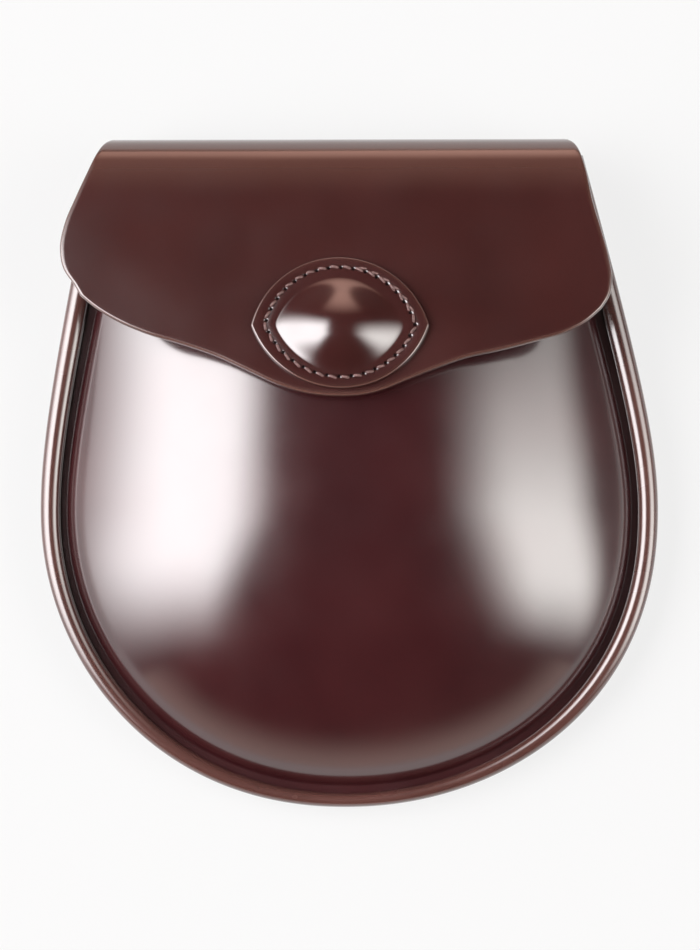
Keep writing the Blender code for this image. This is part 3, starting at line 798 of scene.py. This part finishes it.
# %% [markdown]
# ## The rolled binding
#
# A strip of leather is rolled round both panels' edges, broad at the mouth and slim at the
# bottom. Its section is half an ellipse over the front and a flatter half behind, with a slot
# between them for the panels, and it is carried along the rim as one closed tube.

# %% Rim roll
ROLL_CROWN = 2.9
ROLL_BACK_LIP = 1.2
ROLL_WALL = 1.5
ROLL_TOP = FLANGE_FRONT + SEAM_GAP
ROLL_FRONT_POINTS, ROLL_BACK_POINTS, ROLL_FLANK_POINTS = 29, 19, 5
# the solids take 13 steps down each side and 20 round to the bottom
SIDE_SHARE = 13 / 33


def through(table, at, column=1):
    """A cubic through every row of a table, whose slope at a row is that of its neighbours."""
    rows = np.array(table, float)
    x, y = rows[:, 0], rows[:, column]
    slope = np.gradient(y, x)
    i = np.clip(np.searchsorted(x, at, side="right") - 1, 0, len(x) - 2)
    width = x[i + 1] - x[i]
    t = (np.asarray(at, float) - x[i]) / width
    up = y[i + 1] - y[i]
    start, end = slope[i] * width, slope[i + 1] * width
    return y[i] + t * (start + t * (3 * up - 2 * start - end + t * (start + end - 2 * up)))


def roll_section(width):
    """(inwards, Z) round the section: w/2 x (1 + cos a) across and top + crown x sin a over
    the front, the same with the flatter lip behind, and the slot's two corners between."""
    front_a = np.linspace(math.pi, 0, ROLL_FRONT_POINTS)
    back_a = np.linspace(0, -math.pi, ROLL_BACK_POINTS)
    flank = np.linspace(0, 1, ROLL_FLANK_POINTS + 2)[1:-1]
    wall = np.full_like(width, ROLL_WALL)
    across = np.concatenate(
        [
            0.5 * width * (1 + np.cos(front_a)),
            wall,
            wall,
            0.5 * width * (1 + np.cos(back_a)),
            np.zeros_like(width) * flank,
        ],
        axis=1,
    )
    z = np.concatenate(
        [
            ROLL_TOP + ROLL_CROWN * np.sin(front_a),
            [ROLL_TOP, -SEAM_GAP],
            -SEAM_GAP + ROLL_BACK_LIP * np.sin(back_a),
            -SEAM_GAP + (ROLL_TOP + SEAM_GAP) * flank,
        ]
    )
    return across, z


step = np.arange(SIDE_STEPS + BOTTOM_STEPS + 1)
roll_share = np.where(
    step < SIDE_STEPS,
    step / SIDE_STEPS * SIDE_SHARE,
    SIDE_SHARE + (step - SIDE_STEPS) / BOTTOM_STEPS * (1 - SIDE_SHARE),
)
roll_width = ROLL_WIDTH * through(ROLL_STATIONS, roll_share)
roll_width = np.concatenate([roll_width, roll_width[-2::-1]])[:, None]
across, roll_z = roll_section(roll_width)
rim = mirrored(half_outline(BODY_TOP, BODY_HALF_WIDTH, BODY_BOTTOM))
along = unit(np.gradient(rim, axis=0))
inwards = np.stack([-along[:, 1], along[:, 0]], axis=1)
roll_plan = rim[:, None] + inwards[:, None] * across[..., None]
roll_plan[[0, -1], :, 1] = BODY_TOP
roll_points = sway(np.dstack([roll_plan, np.broadcast_to(roll_z, roll_plan.shape[:2])]))
roll_rows, roll_columns = roll_points.shape[:2]
# The binding's inner side, towards the groove, and its slot are painted dark as shade, less so
# towards the bottom.
front_turn = np.linspace(180, 0, ROLL_FRONT_POINTS)
roll_dark = np.zeros(roll_columns)
roll_dark[:ROLL_FRONT_POINTS] = 1 - smooth(front_turn, 8, 50)
roll_dark[ROLL_FRONT_POINTS : ROLL_FRONT_POINTS + 2] = 1
roll_shade_strength = 0.05 + 0.60 * smooth(rim[:, 1:], *SHADE_FADE_HEIGHTS)
roll = make_piece(
    "rim_leather",
    roll_points.reshape(-1, 3),
    grid_quads(roll_rows, roll_columns, loop=True),
    {"dark": (roll_shade_strength * roll_dark).ravel()},
)


def close_holes(piece):
    """Fills every open ring of edges with one face, and turns all faces outwards."""
    work = bmesh.new()
    work.from_mesh(piece.data)
    open_edges = [e for e in work.edges if e.is_boundary]
    bmesh.ops.holes_fill(work, edges=open_edges, sides=0)
    bmesh.ops.recalc_face_normals(work, faces=work.faces)
    work.to_mesh(piece.data)
    work.free()


close_holes(roll)
fit_out(roll, rim_leather, "rim_leather", "rim_roll")

# %% [markdown]
# ## The flap
# One thick piece runs up the back, over the fold and down the front to a blunt point. Its
# outline comes from two short tables: how wide it is along its side edge, and how low its hem
# hangs from the middle to the corner. Rows run across it, and each row's distance from the
# fold is measured along the leather, so the sheet keeps its length round the bends. The fold
# is painted paler and browner with the edge's colour, as a painted highlight of the light along it.

# %% Flap
FLAP_DRAPE = 3.0
FLAP_DRAPE_POWER = 2.2
FLAP_HALF_WIDTH = 83.9
FLAP_DROP = 79.1
TAIL_BOTTOM = BODY_TOP - 31.0
TAIL_CLEARANCE = 2.8
TAIL_BLEND_POWER = 6
FLAP_EDGE = 0.6
FLAP_COLUMNS = 170
FLAP_ROWS = 100
TAIL_STEPS = 34
BACK_BEND_STEPS = 16
FRONT_BEND_STEPS = 22
FRONT_PATH_STEPS = 120
FOLD_HIGHLIGHT_REACH = (4.0, 19.0)
FLAP_UNEVENNESS = 0.10
TOP_LINE = TAIL_STEPS + BACK_BEND_STEPS + 1
# columns: share of the side edge's length, half-width on the left, on the right
FLAP_SIDE = (
    (0.00, 0.822, 0.832),
    (0.10, 0.854, 0.870),
    (0.25, 0.897, 0.903),
    (0.45, 0.957, 0.929),
    (0.60, 0.998, 0.956),
    (0.75, 1.016, 0.980),
    (0.86, 1.002, 0.988),
    (0.94, 0.967, 0.976),
    (1.00, 0.945, 0.949),
)
# columns: share of the way from the middle to the corner, drop on the left, on the right
FLAP_HEM = (
    (0.00, 1.000, 1.000),
    (0.07, 0.997, 0.996),
    (0.15, 0.985, 0.978),
    (0.25, 0.953, 0.938),
    (0.35, 0.906, 0.898),
    (0.48, 0.846, 0.852),
    (0.61, 0.801, 0.824),
    (0.75, 0.759, 0.788),
    (0.86, 0.711, 0.756),
    (0.95, 0.655, 0.708),
    (1.00, 0.613, 0.664),
)


def flap_path():
    """The flap's outer face down its middle as (distance from the top line, Y, Z): straight
    up the back, a quarter circle, a flat top, an arc, and the front's cubic."""
    back_centre = (FLAP_TOP - FOLD_BACK_RADIUS, FLAP_BACK_FACE + FOLD_BACK_RADIUS)
    centre = fold_front_centre()
    up_back = np.linspace(TAIL_BOTTOM + FLAP_EDGE, back_centre[0], TAIL_STEPS, endpoint=False)
    bend = np.linspace(0, math.pi / 2, BACK_BEND_STEPS + 1)
    over = np.linspace(math.pi / 2, FOLD_LEAN, FRONT_BEND_STEPS + 1)
    end = FLAP_TOP - FLAP_DROP - FLAP_LIFT
    down_front = np.linspace(flap_front_ends()[0], end, FRONT_PATH_STEPS)[1:]
    y = np.concatenate(
        [
            up_back,
            back_centre[0] + FOLD_BACK_RADIUS * np.sin(bend),
            centre[0] + FOLD_FRONT_RADIUS * np.sin(over),
            down_front,
        ]
    )
    z = np.concatenate(
        [
            np.full_like(up_back, FLAP_BACK_FACE),
            back_centre[1] - FOLD_BACK_RADIUS * np.cos(bend),
            centre[1] + FOLD_FRONT_RADIUS * np.cos(over),
            flap_front_curve(down_front),
        ]
    )
    distance = np.concatenate([[0], np.cumsum(np.hypot(np.diff(y), np.diff(z)))])
    return distance - distance[TOP_LINE], y, z


def flap_drape(x, y):
    """drape x share of the way down x (|x| / half width)^2.2"""
    down = np.clip((FLAP_TOP - y) / FLAP_DROP, 0, 1)
    return FLAP_DRAPE * down * (np.abs(x) / FLAP_HALF_WIDTH) ** FLAP_DRAPE_POWER


distance, path_y, path_z = flap_path()
u = np.linspace(-1, 1, FLAP_COLUMNS + 1)
out = np.abs(u)
drop = np.where(u < 0, through(FLAP_HEM, out, 1), through(FLAP_HEM, out, 2))
hem_y = FLAP_TOP - FLAP_DROP * drop + FLAP_EDGE
hem = np.interp(hem_y, path_y[TOP_LINE:][::-1], distance[TOP_LINE:][::-1])
side = np.interp(u, [-1, 1], hem[[0, -1]])
bend_share = distance[TOP_LINE : TOP_LINE + FRONT_BEND_STEPS + 1] / side.max()
v = np.concatenate([bend_share, np.linspace(bend_share[-1], 1, FLAP_ROWS + 1)[1:]])[:, None]
reach = v * side + (hem - side) * v**2
half_width = np.where(u < 0, through(FLAP_SIDE, v, 1), through(FLAP_SIDE, v, 2))
half_width = half_width * FLAP_HALF_WIDTH - FLAP_EDGE
back_rows = distance[:TOP_LINE]
back_share = 1 - back_rows / back_rows[0]
tail = side_half_width(BODY_TOP) - ROLL_WIDTH * ROLL_STATIONS[0][1] - TAIL_CLEARANCE - FLAP_EDGE
widening = tail + (half_width[0] - tail) * back_share[:, None] ** TAIL_BLEND_POWER
distances = np.concatenate([np.repeat(back_rows[:, None], len(u), axis=1), reach])
flap_x = np.concatenate([widening, half_width]) * u
flap_y = np.interp(distances, distance, path_y)
flap_z = np.interp(distances, distance, path_z) - flap_drape(flap_x, flap_y) * (distances > 0)
uneven = FLAP_UNEVENNESS * waves(flap_x, flap_y, 38.0, 11)
flap_z += uneven * np.clip(distances / 20, 0, 1)
flap_grid = sway(np.dstack([flap_x, flap_y, flap_z]))


def grid_rim(rows, columns):
    """The border of an open grid, counter-clockwise as its faces are seen from outside."""
    index = np.arange(rows * columns).reshape(rows, columns)
    return np.concatenate([index[-1], index[-2::-1, -1], index[0, -2::-1], index[1:-1, 0]])


points, quads, marks = leather_sheet(
    flap_grid.reshape(-1, 3),
    grid_quads(*flap_grid.shape[:2]),
    grid_rim(*flap_grid.shape[:2]),
    BODY_LEATHER,
    FLAP_EDGE,
)
# The fold is painted paler with the edge's colour: a painted highlight of the light along it.
fold_highlight = 1 - smooth(FLAP_TOP - points[:, 1], *FOLD_HIGHLIGHT_REACH)
marks["edge"] = np.maximum(marks["edge"], 0.9 * fold_highlight)
flap = make_piece("flap_leather", points, quads, marks)
fit_out(flap, flap_leather, "flap_leather", "flap")

# %% [markdown]
# ## The domed patch and its stitches
#
# The eye-shaped patch is two arcs that meet in a point at each side, and its boss is a deep
# pillow. A saddle stitch runs round between them, with a round hole at each end of each
# stitch. The holes and the shallow channel that the thread has pulled in are pressed into
# the grid itself, so that they catch light and shade from any side. The holes are also
# painted dark as shade, and small dark discs lie in them as painted shade.

# %% Patch
PATCH_LEATHER = 1.6
PATCH_CENTRE = FLAP_TOP - 57.5
PATCH_HALF_LENGTH, PATCH_RISE, PATCH_FALL = 27.0, 20.7, 19.2
STITCH_HALF_LENGTH, STITCH_RISE, STITCH_FALL = 22.9, 17.6, 16.0
BOSS_HALF_LENGTH = 19.6
BOSS_HALF_HEIGHT = 14.6
BOSS_POINT = 0.5
BOSS_HEIGHT = 5.9
BOSS_FLATNESS = 2.0
BOSS_FULLNESS = 1.5
PATCH_SIDES = 280
BOSS_ROWS = 44
PATCH_BORDER_ROWS = 30
PATCH_EDGE = 0.4
PATCH_STITCHES = 32
HOLE_RADIUS = 0.45
HOLE_DEPTH = 0.25
STITCH_SINK = 0.14
CHANNEL_WIDTH = 1.2
STITCH_PARTS = 12
FINE_STEPS = 4000


def eye_edge(turn, half_length, rise, fall):
    """Two arcs through (+-half length, 0) and the rise or the fall: radius = (l^2 + h^2) / 2h."""
    x = half_length * np.cos(turn)
    reach = np.where(np.sin(turn) >= 0, rise, fall)
    radius = (half_length**2 + reach**2) / (2 * reach)
    height = np.sqrt(radius**2 - x**2) - (radius - reach)
    return np.stack([x, np.sign(np.sin(turn)) * np.clip(height, 0, None)], axis=1)


def evenly(closed, count):
    """A closed line of points resampled to count points at equal distances along it."""
    loop = np.concatenate([closed, closed[:1]])
    along = np.concatenate([[0], np.cumsum(np.linalg.norm(np.diff(loop, axis=0), axis=1))])
    at = np.linspace(0, along[-1], count, endpoint=False)
    return np.stack([np.interp(at, along, loop[:, k]) for k in range(loop.shape[1])], axis=1)


def patch_base(x, y):
    """Height of the patch's outer face where it lies on the flap."""
    lean = np.hypot(1, flap_front_slope(y))
    return flap_front_curve(y) - flap_drape(x, y) + (SEAM_GAP + PATCH_LEATHER) * lean


turn = np.linspace(0, 2 * math.pi, PATCH_SIDES, endpoint=False)
fine_turn = np.linspace(0, 2 * math.pi, FINE_STEPS, endpoint=False)
fine_line = eye_edge(fine_turn, STITCH_HALF_LENGTH, STITCH_RISE, STITCH_FALL)
stitch_line = evenly(fine_line, PATCH_STITCHES * STITCH_PARTS)
holes = stitch_line[::STITCH_PARTS]
edge = eye_edge(
    turn, PATCH_HALF_LENGTH - PATCH_EDGE, PATCH_RISE - PATCH_EDGE, PATCH_FALL - PATCH_EDGE
)
boss_out = np.sin(np.linspace(0, math.pi / 2, BOSS_ROWS + 1)[1:])


def boss_rings(turn, out):
    """out x (half length x cos t, half height x sin t x (1 - (out x cos t)^2)^(point / 2)):
    ellipses near the top, drawn out to the points of an eye at the foot."""
    turn, out = turn[None], out[:, None]
    narrowing = np.clip(1 - (out * np.cos(turn)) ** 2, 0, None) ** (BOSS_POINT / 2)
    across = BOSS_HALF_HEIGHT * np.sin(turn) * narrowing
    return np.dstack([out * BOSS_HALF_LENGTH * np.cos(turn), out * across])


boss = boss_rings(turn, boss_out)
border = np.linspace(0, 1, PATCH_BORDER_ROWS + 1)[1:, None, None]
patch_plan = np.concatenate([boss, boss[-1] + (edge - boss[-1]) * border])
swell = np.concatenate(
    [BOSS_HEIGHT * (1 - boss_out**BOSS_FLATNESS) ** BOSS_FULLNESS, np.zeros(PATCH_BORDER_ROWS)]
)[:, None]
px, py = patch_plan[..., 0], patch_plan[..., 1]


def nearest(x, y, marks):
    """Distance from each place to the nearest of some marks."""
    gap = (x[..., None] - marks[:, 0]) ** 2 + (y[..., None] - marks[:, 1]) ** 2
    return np.sqrt(gap.min(axis=-1))


to_line = nearest(px, py, stitch_line)
to_hole = nearest(px, py, holes)
hole_dent_and_shade = np.exp(-((to_hole / HOLE_RADIUS) ** 4))
pressed = STITCH_SINK * np.exp(-((to_line / CHANNEL_WIDTH) ** 2)) + HOLE_DEPTH * hole_dent_and_shade
patch_z = patch_base(px, py + PATCH_CENTRE) + swell - pressed
patch_grid = sway(np.dstack([px, py + PATCH_CENTRE, patch_z]))
patch_rows, patch_columns = patch_grid.shape[:2]
patch_points = patch_grid.reshape(-1, 3)
middle = patch_points[:patch_columns].mean(axis=0)
middle[2] = patch_base(0, PATCH_CENTRE) + BOSS_HEIGHT
patch_points = np.concatenate([patch_points, middle[None]])
ring = np.arange(0, patch_columns, 2)
cap = np.stack(
    [
        np.full_like(ring, len(patch_points) - 1),
        ring,
        (ring + 1) % patch_columns,
        (ring + 2) % patch_columns,
    ],
    axis=1,
)
patch_quads = np.concatenate([grid_quads(patch_rows, patch_columns, loop=True), cap])
patch_rim = (patch_rows - 1) * patch_columns + np.arange(patch_columns)
points, quads, marks = leather_sheet(
    patch_points, patch_quads, patch_rim, PATCH_LEATHER, PATCH_EDGE
)
# The stitch holes are painted dark as shade.
marks["dark"] = np.zeros(len(points))
marks["dark"][: hole_dent_and_shade.size] = hole_dent_and_shade.ravel()
patch = make_piece("patch_leather", points, quads, marks)
fit_out(patch, patch_leather, "patch_leather", "stud_patch")

# %% [markdown]
# ## Stitches
#
# A stitch is a short length of waxed thread that dives into a hole at each end. Hundreds of
# them repeat one small shape, so one template is laid along a line of places by array
# arithmetic, and each row of stitches becomes one mesh.

# %% A function that lays a row of stitches
THREAD_RINGS, THREAD_SIDES = 7, 6
SIX_SIDED = np.array([[0, 1, 2, 3], [3, 4, 5, 0]])


def stitch_row(name, centres, along, outwards, length, radius, slant=0.0):
    """One mesh of bowed threads. A point of a thread is centre + along x length/2 x s +
    outwards x bow x (1 - s^2) + radius x r(s) x (side x cos a + outwards x sin a), with s
    from -1 to 1, a round the thread, and r falling to a third at the ends."""
    s = np.linspace(-1, 1, THREAD_RINGS)[:, None]
    a = np.linspace(0, 2 * math.pi, THREAD_SIDES, endpoint=False)[None]
    along = unit(along)
    side = unit(np.cross(outwards, along))
    along = unit(along * math.cos(slant) + side * math.sin(slant))
    side = unit(np.cross(outwards, along))
    thick = radius * (1 - 0.66 * np.abs(s) ** 5)
    shares = (
        length / 2 * s + 0 * a,
        thick * np.cos(a),
        radius * 1.7 * (1 - s**2) - radius * 1.1 + thick * np.sin(a),
    )
    axes = (along, side, outwards)
    points = centres[:, None, None] + sum(
        share[None, ..., None] * axis[:, None, None] for share, axis in zip(shares, axes)
    )
    tube = grid_quads(THREAD_RINGS, THREAD_SIDES, loop=True)
    last = (THREAD_RINGS - 1) * THREAD_SIDES
    one = np.concatenate([tube, SIX_SIDED, last + SIX_SIDED[:, ::-1]])
    quads = one[None] + THREAD_RINGS * THREAD_SIDES * np.arange(len(centres))[:, None, None]
    return make_piece(name, points.reshape(-1, 3), quads.reshape(-1, 4))


def on_patch(marks_2d, sink=0.0):
    """Places on the patch's flat border, that much under its face, and the face's normal."""
    y = marks_2d[:, 1] + PATCH_CENTRE
    slope = flap_front_slope(y)
    normal = unit(np.stack([0 * y, slope, np.ones_like(y)], axis=1))
    z = patch_base(marks_2d[:, 0], y) - sink
    return sway(np.stack([marks_2d[:, 0], y, z], axis=1)), normal, slope


def patch_stitch(name, middles, ahead, length, radius, slant):
    """A row of stitches on the patch, along the given directions in its plan."""
    places, normal, slope = on_patch(middles, STITCH_SINK)
    along = np.stack([ahead[:, 0], ahead[:, 1], -ahead[:, 1] * slope], axis=1)
    return stitch_row(name, places, along, normal, length, radius, math.radians(slant))


half = STITCH_PARTS // 2
half_way = stitch_line[half::STITCH_PARTS]
ahead = stitch_line[half + 1 :: STITCH_PARTS] - stitch_line[half - 1 :: STITCH_PARTS]
patch_stitches = patch_stitch(
    "patch_stitches", half_way, ahead, length=3.1, radius=0.42, slant=-15
)
fit_out(patch_stitches, thread, "patch_leather")

# %% Doubled stitches and painted shade in the punched holes
DOUBLED = slice(1, 7)
DOUBLED_OUT, DOUBLED_BACK = 0.62, 0.9
HOLE_SHIFT = 0.30
HOLE_SINK = 0.06
outwards = unit(np.stack([ahead[:, 1], -ahead[:, 0]], axis=1))[DOUBLED]
second = half_way[DOUBLED] + DOUBLED_OUT * outwards - DOUBLED_BACK * unit(ahead[DOUBLED])
second_row = patch_stitch(
    "doubled_stitches", second, ahead[DOUBLED], length=3.0, radius=0.38, slant=12
)
fit_out(second_row, thread, "patch_leather")


def discs(name, centres, normal, radius):
    """Flat six-sided discs: centre + radius x (side x cos a + other x sin a)."""
    a = np.linspace(0, 2 * math.pi, 6, endpoint=False)
    side = unit(np.cross(normal, [0.0, 1.0, 0.0]))
    other = np.cross(normal, side)
    ring = side[:, None] * np.cos(a)[:, None] + other[:, None] * np.sin(a)[:, None]
    points = (centres[:, None] + radius * ring).reshape(-1, 3)
    quads = SIX_SIDED + 6 * np.arange(len(centres))[:, None, None]
    return make_piece(name, points, quads.reshape(-1, 4))


# Dark discs lie in the punched holes as painted shade.
hole_places, hole_normal, _ = on_patch(holes - HOLE_SHIFT * unit(holes), HOLE_SINK)
hole_shade_discs = discs("hole_shade_discs", hole_places, hole_normal, radius=0.5)
fit_out(hole_shade_discs, hole_shade, "patch_leather")

# %% [markdown]
# ## The flat back
#
# The back panel is cut to the same outline, flat, and bound at its rim. Its grid fans out
# from the middle line as the front's does.

# %% Back panel
BACK_ROWS = 40


def back_plan():
    """Middle line + (rim - middle line) x share, in even steps."""
    outline = rim_outline(BODY_TOP - EDGE_BULGE, PANEL_INSET + EDGE_BULGE)
    midrib = middle_line(BODY_TOP)
    return midrib + (outline - midrib) * np.linspace(0, 1, BACK_ROWS + 1)[:, None, None]


plan = back_plan()
*back_grid, _ = fan_grid(plan, np.full(plan.shape[:2], BODY_LEATHER))
back = make_piece("back_leather", *leather_sheet(*back_grid, BODY_LEATHER, EDGE_BULGE))
fit_out(back, back_leather, "back_leather", "back_panel")

# %% [markdown]
# ## The strap loops
#
# Each loop is a band sewn down above and below, standing off the back between, with room for
# a waist strap. Its outer line is rounded by averaging it over a short window, which is a
# simple way to give a folded band soft bends, and the inner face follows at the band's
# thickness.

# %% Strap loops
LOOP_LEATHER = 2.0
LOOP_CENTRE_X = 42.0
STRAP_WIDTH_ROOM = 31.0
STRAP_THICKNESS_ROOM = 5.5
LOOP_FOOT = 8.0
LOOP_WIDTH = 26.0
LOOP_HALF_LENGTH = STRAP_WIDTH_ROOM / 2 + STRAP_THICKNESS_ROOM / 2 + LOOP_FOOT
LOOP_BELOW_TAIL = 3.75
LOOP_CENTRE_Y = TAIL_BOTTOM - LOOP_BELOW_TAIL - LOOP_HALF_LENGTH
LOOP_REACH = SEAM_GAP + STRAP_THICKNESS_ROOM + LOOP_LEATHER
LOOP_EDGE = 0.5
LOOP_BEND = 2.4
LOOP_ROWS, LOOP_COLUMNS, LOOP_WINDOW = 120, 26, 25


def loop_line():
    """The loop's outer line as (Y from its middle, distance behind the back), rounded."""
    bend, ramp = STRAP_WIDTH_ROOM / 2, STRAP_THICKNESS_ROOM / 2
    slope = math.tan(LEAN)
    foot = SEAM_GAP + LOOP_LEATHER
    end = LOOP_HALF_LENGTH - LOOP_EDGE
    corners = np.array(
        [
            (end, foot),
            (bend + ramp, foot),
            (bend, LOOP_REACH + slope * bend),
            (-bend, LOOP_REACH - slope * bend),
            (-bend - ramp, foot),
            (-end, foot),
        ]
    )
    length = np.concatenate([[0], np.cumsum(np.linalg.norm(np.diff(corners, axis=0), axis=1))])
    at = np.linspace(0, length[-1], LOOP_ROWS + 1)
    window = np.linspace(-LOOP_BEND / 2, LOOP_BEND / 2, LOOP_WINDOW)
    spread = np.clip(at[:, None] + window, 0, length[-1])
    averages = [np.interp(spread, length, corners[:, k]).mean(axis=1) for k in (0, 1)]
    line = np.stack(averages, axis=1)
    line[[0, -1]] = corners[[0, -1]]
    return line


line = loop_line()
loop_side = LOOP_WIDTH / 2 - LOOP_EDGE
loop_columns = np.linspace(loop_side, -loop_side, LOOP_COLUMNS + 1)
loop_x, loop_y = np.meshgrid(loop_columns, line[:, 0])
loop_z = -np.repeat(line[:, 1:], len(loop_columns), axis=1)


def make_loop(name, node, centre_x):
    """The loop's line carried across its width, as a sheet of the loop's own thickness."""
    grid = np.dstack([loop_x + centre_x, loop_y + LOOP_CENTRE_Y, loop_z])
    loop = make_piece(
        name,
        *leather_sheet(
            grid.reshape(-1, 3),
            grid_quads(*grid.shape[:2]),
            grid_rim(*grid.shape[:2]),
            LOOP_LEATHER,
            LOOP_EDGE,
        ),
    )
    fit_out(loop, loop_leather, "loop_leather", node)


make_loop("loop_leather_left", "strap_loop_left", -LOOP_CENTRE_X)
make_loop("loop_leather_right", "strap_loop_right", LOOP_CENTRE_X)

# %% [markdown]
# ## Stitches on the back
#
# Two rows hold the flap's tail to the back panel, and two short rows hold each foot of each
# loop.

# %% Back stitches
STITCH_PITCH = 3.9
TAIL_ROW_RISES, TAIL_ROW_END = (4.5, 9.0), 4.0
FOOT_ROW_INSETS, FOOT_ROW_END = (2.4, 5.8), 2.5


def straight_row(start_x, end_x, y, behind):
    """Stitch centres at even steps of about one pitch along X."""
    count = int(round(abs(end_x - start_x) / STITCH_PITCH))
    step = (end_x - start_x) / count
    x = start_x + step * (np.arange(count) + 0.5)
    return np.stack([x, np.full(count, y), np.full(count, -behind)], axis=1)


tail_end = tail - TAIL_ROW_END
tail_rows = [
    sway(straight_row(-tail_end, tail_end, TAIL_BOTTOM + up, -FLAP_BACK_FACE))
    for up in TAIL_ROW_RISES
]
foot_end = LOOP_WIDTH / 2 - FOOT_ROW_END
foot_rises = [LOOP_HALF_LENGTH - inset for inset in FOOT_ROW_INSETS]
foot_rises += [-rise for rise in foot_rises[::-1]]
foot_rows = [
    straight_row(x - foot_end, x + foot_end, LOOP_CENTRE_Y + up, SEAM_GAP + LOOP_LEATHER)
    for x in (-LOOP_CENTRE_X, LOOP_CENTRE_X)
    for up in foot_rises
]
for name, rows_of, slot in (
    ("tail_stitches", tail_rows, "flap_leather"),
    ("loop_stitches", foot_rows, "loop_leather"),
):
    centres = np.concatenate(rows_of)
    behind = np.tile([0.0, 0.0, -1.0], (len(centres), 1))
    sideways = np.tile([1.0, 0.0, 0.0], (len(centres), 1))
    row = stitch_row(name, centres, sideways, behind, 3.2, 0.36, math.radians(12))
    fit_out(row, thread, slot)

# %% [markdown]
# ## The end
#
# The sizes of the solids' box and of the finished model's box are printed side by side.

# %% Sizes
visual_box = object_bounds()
for label, (low, high) in (("solids", cad_box), ("surfaces", visual_box)):
    print(label, [round((h - l) / MM, 1) for l, h in zip(low, high)], "mm")
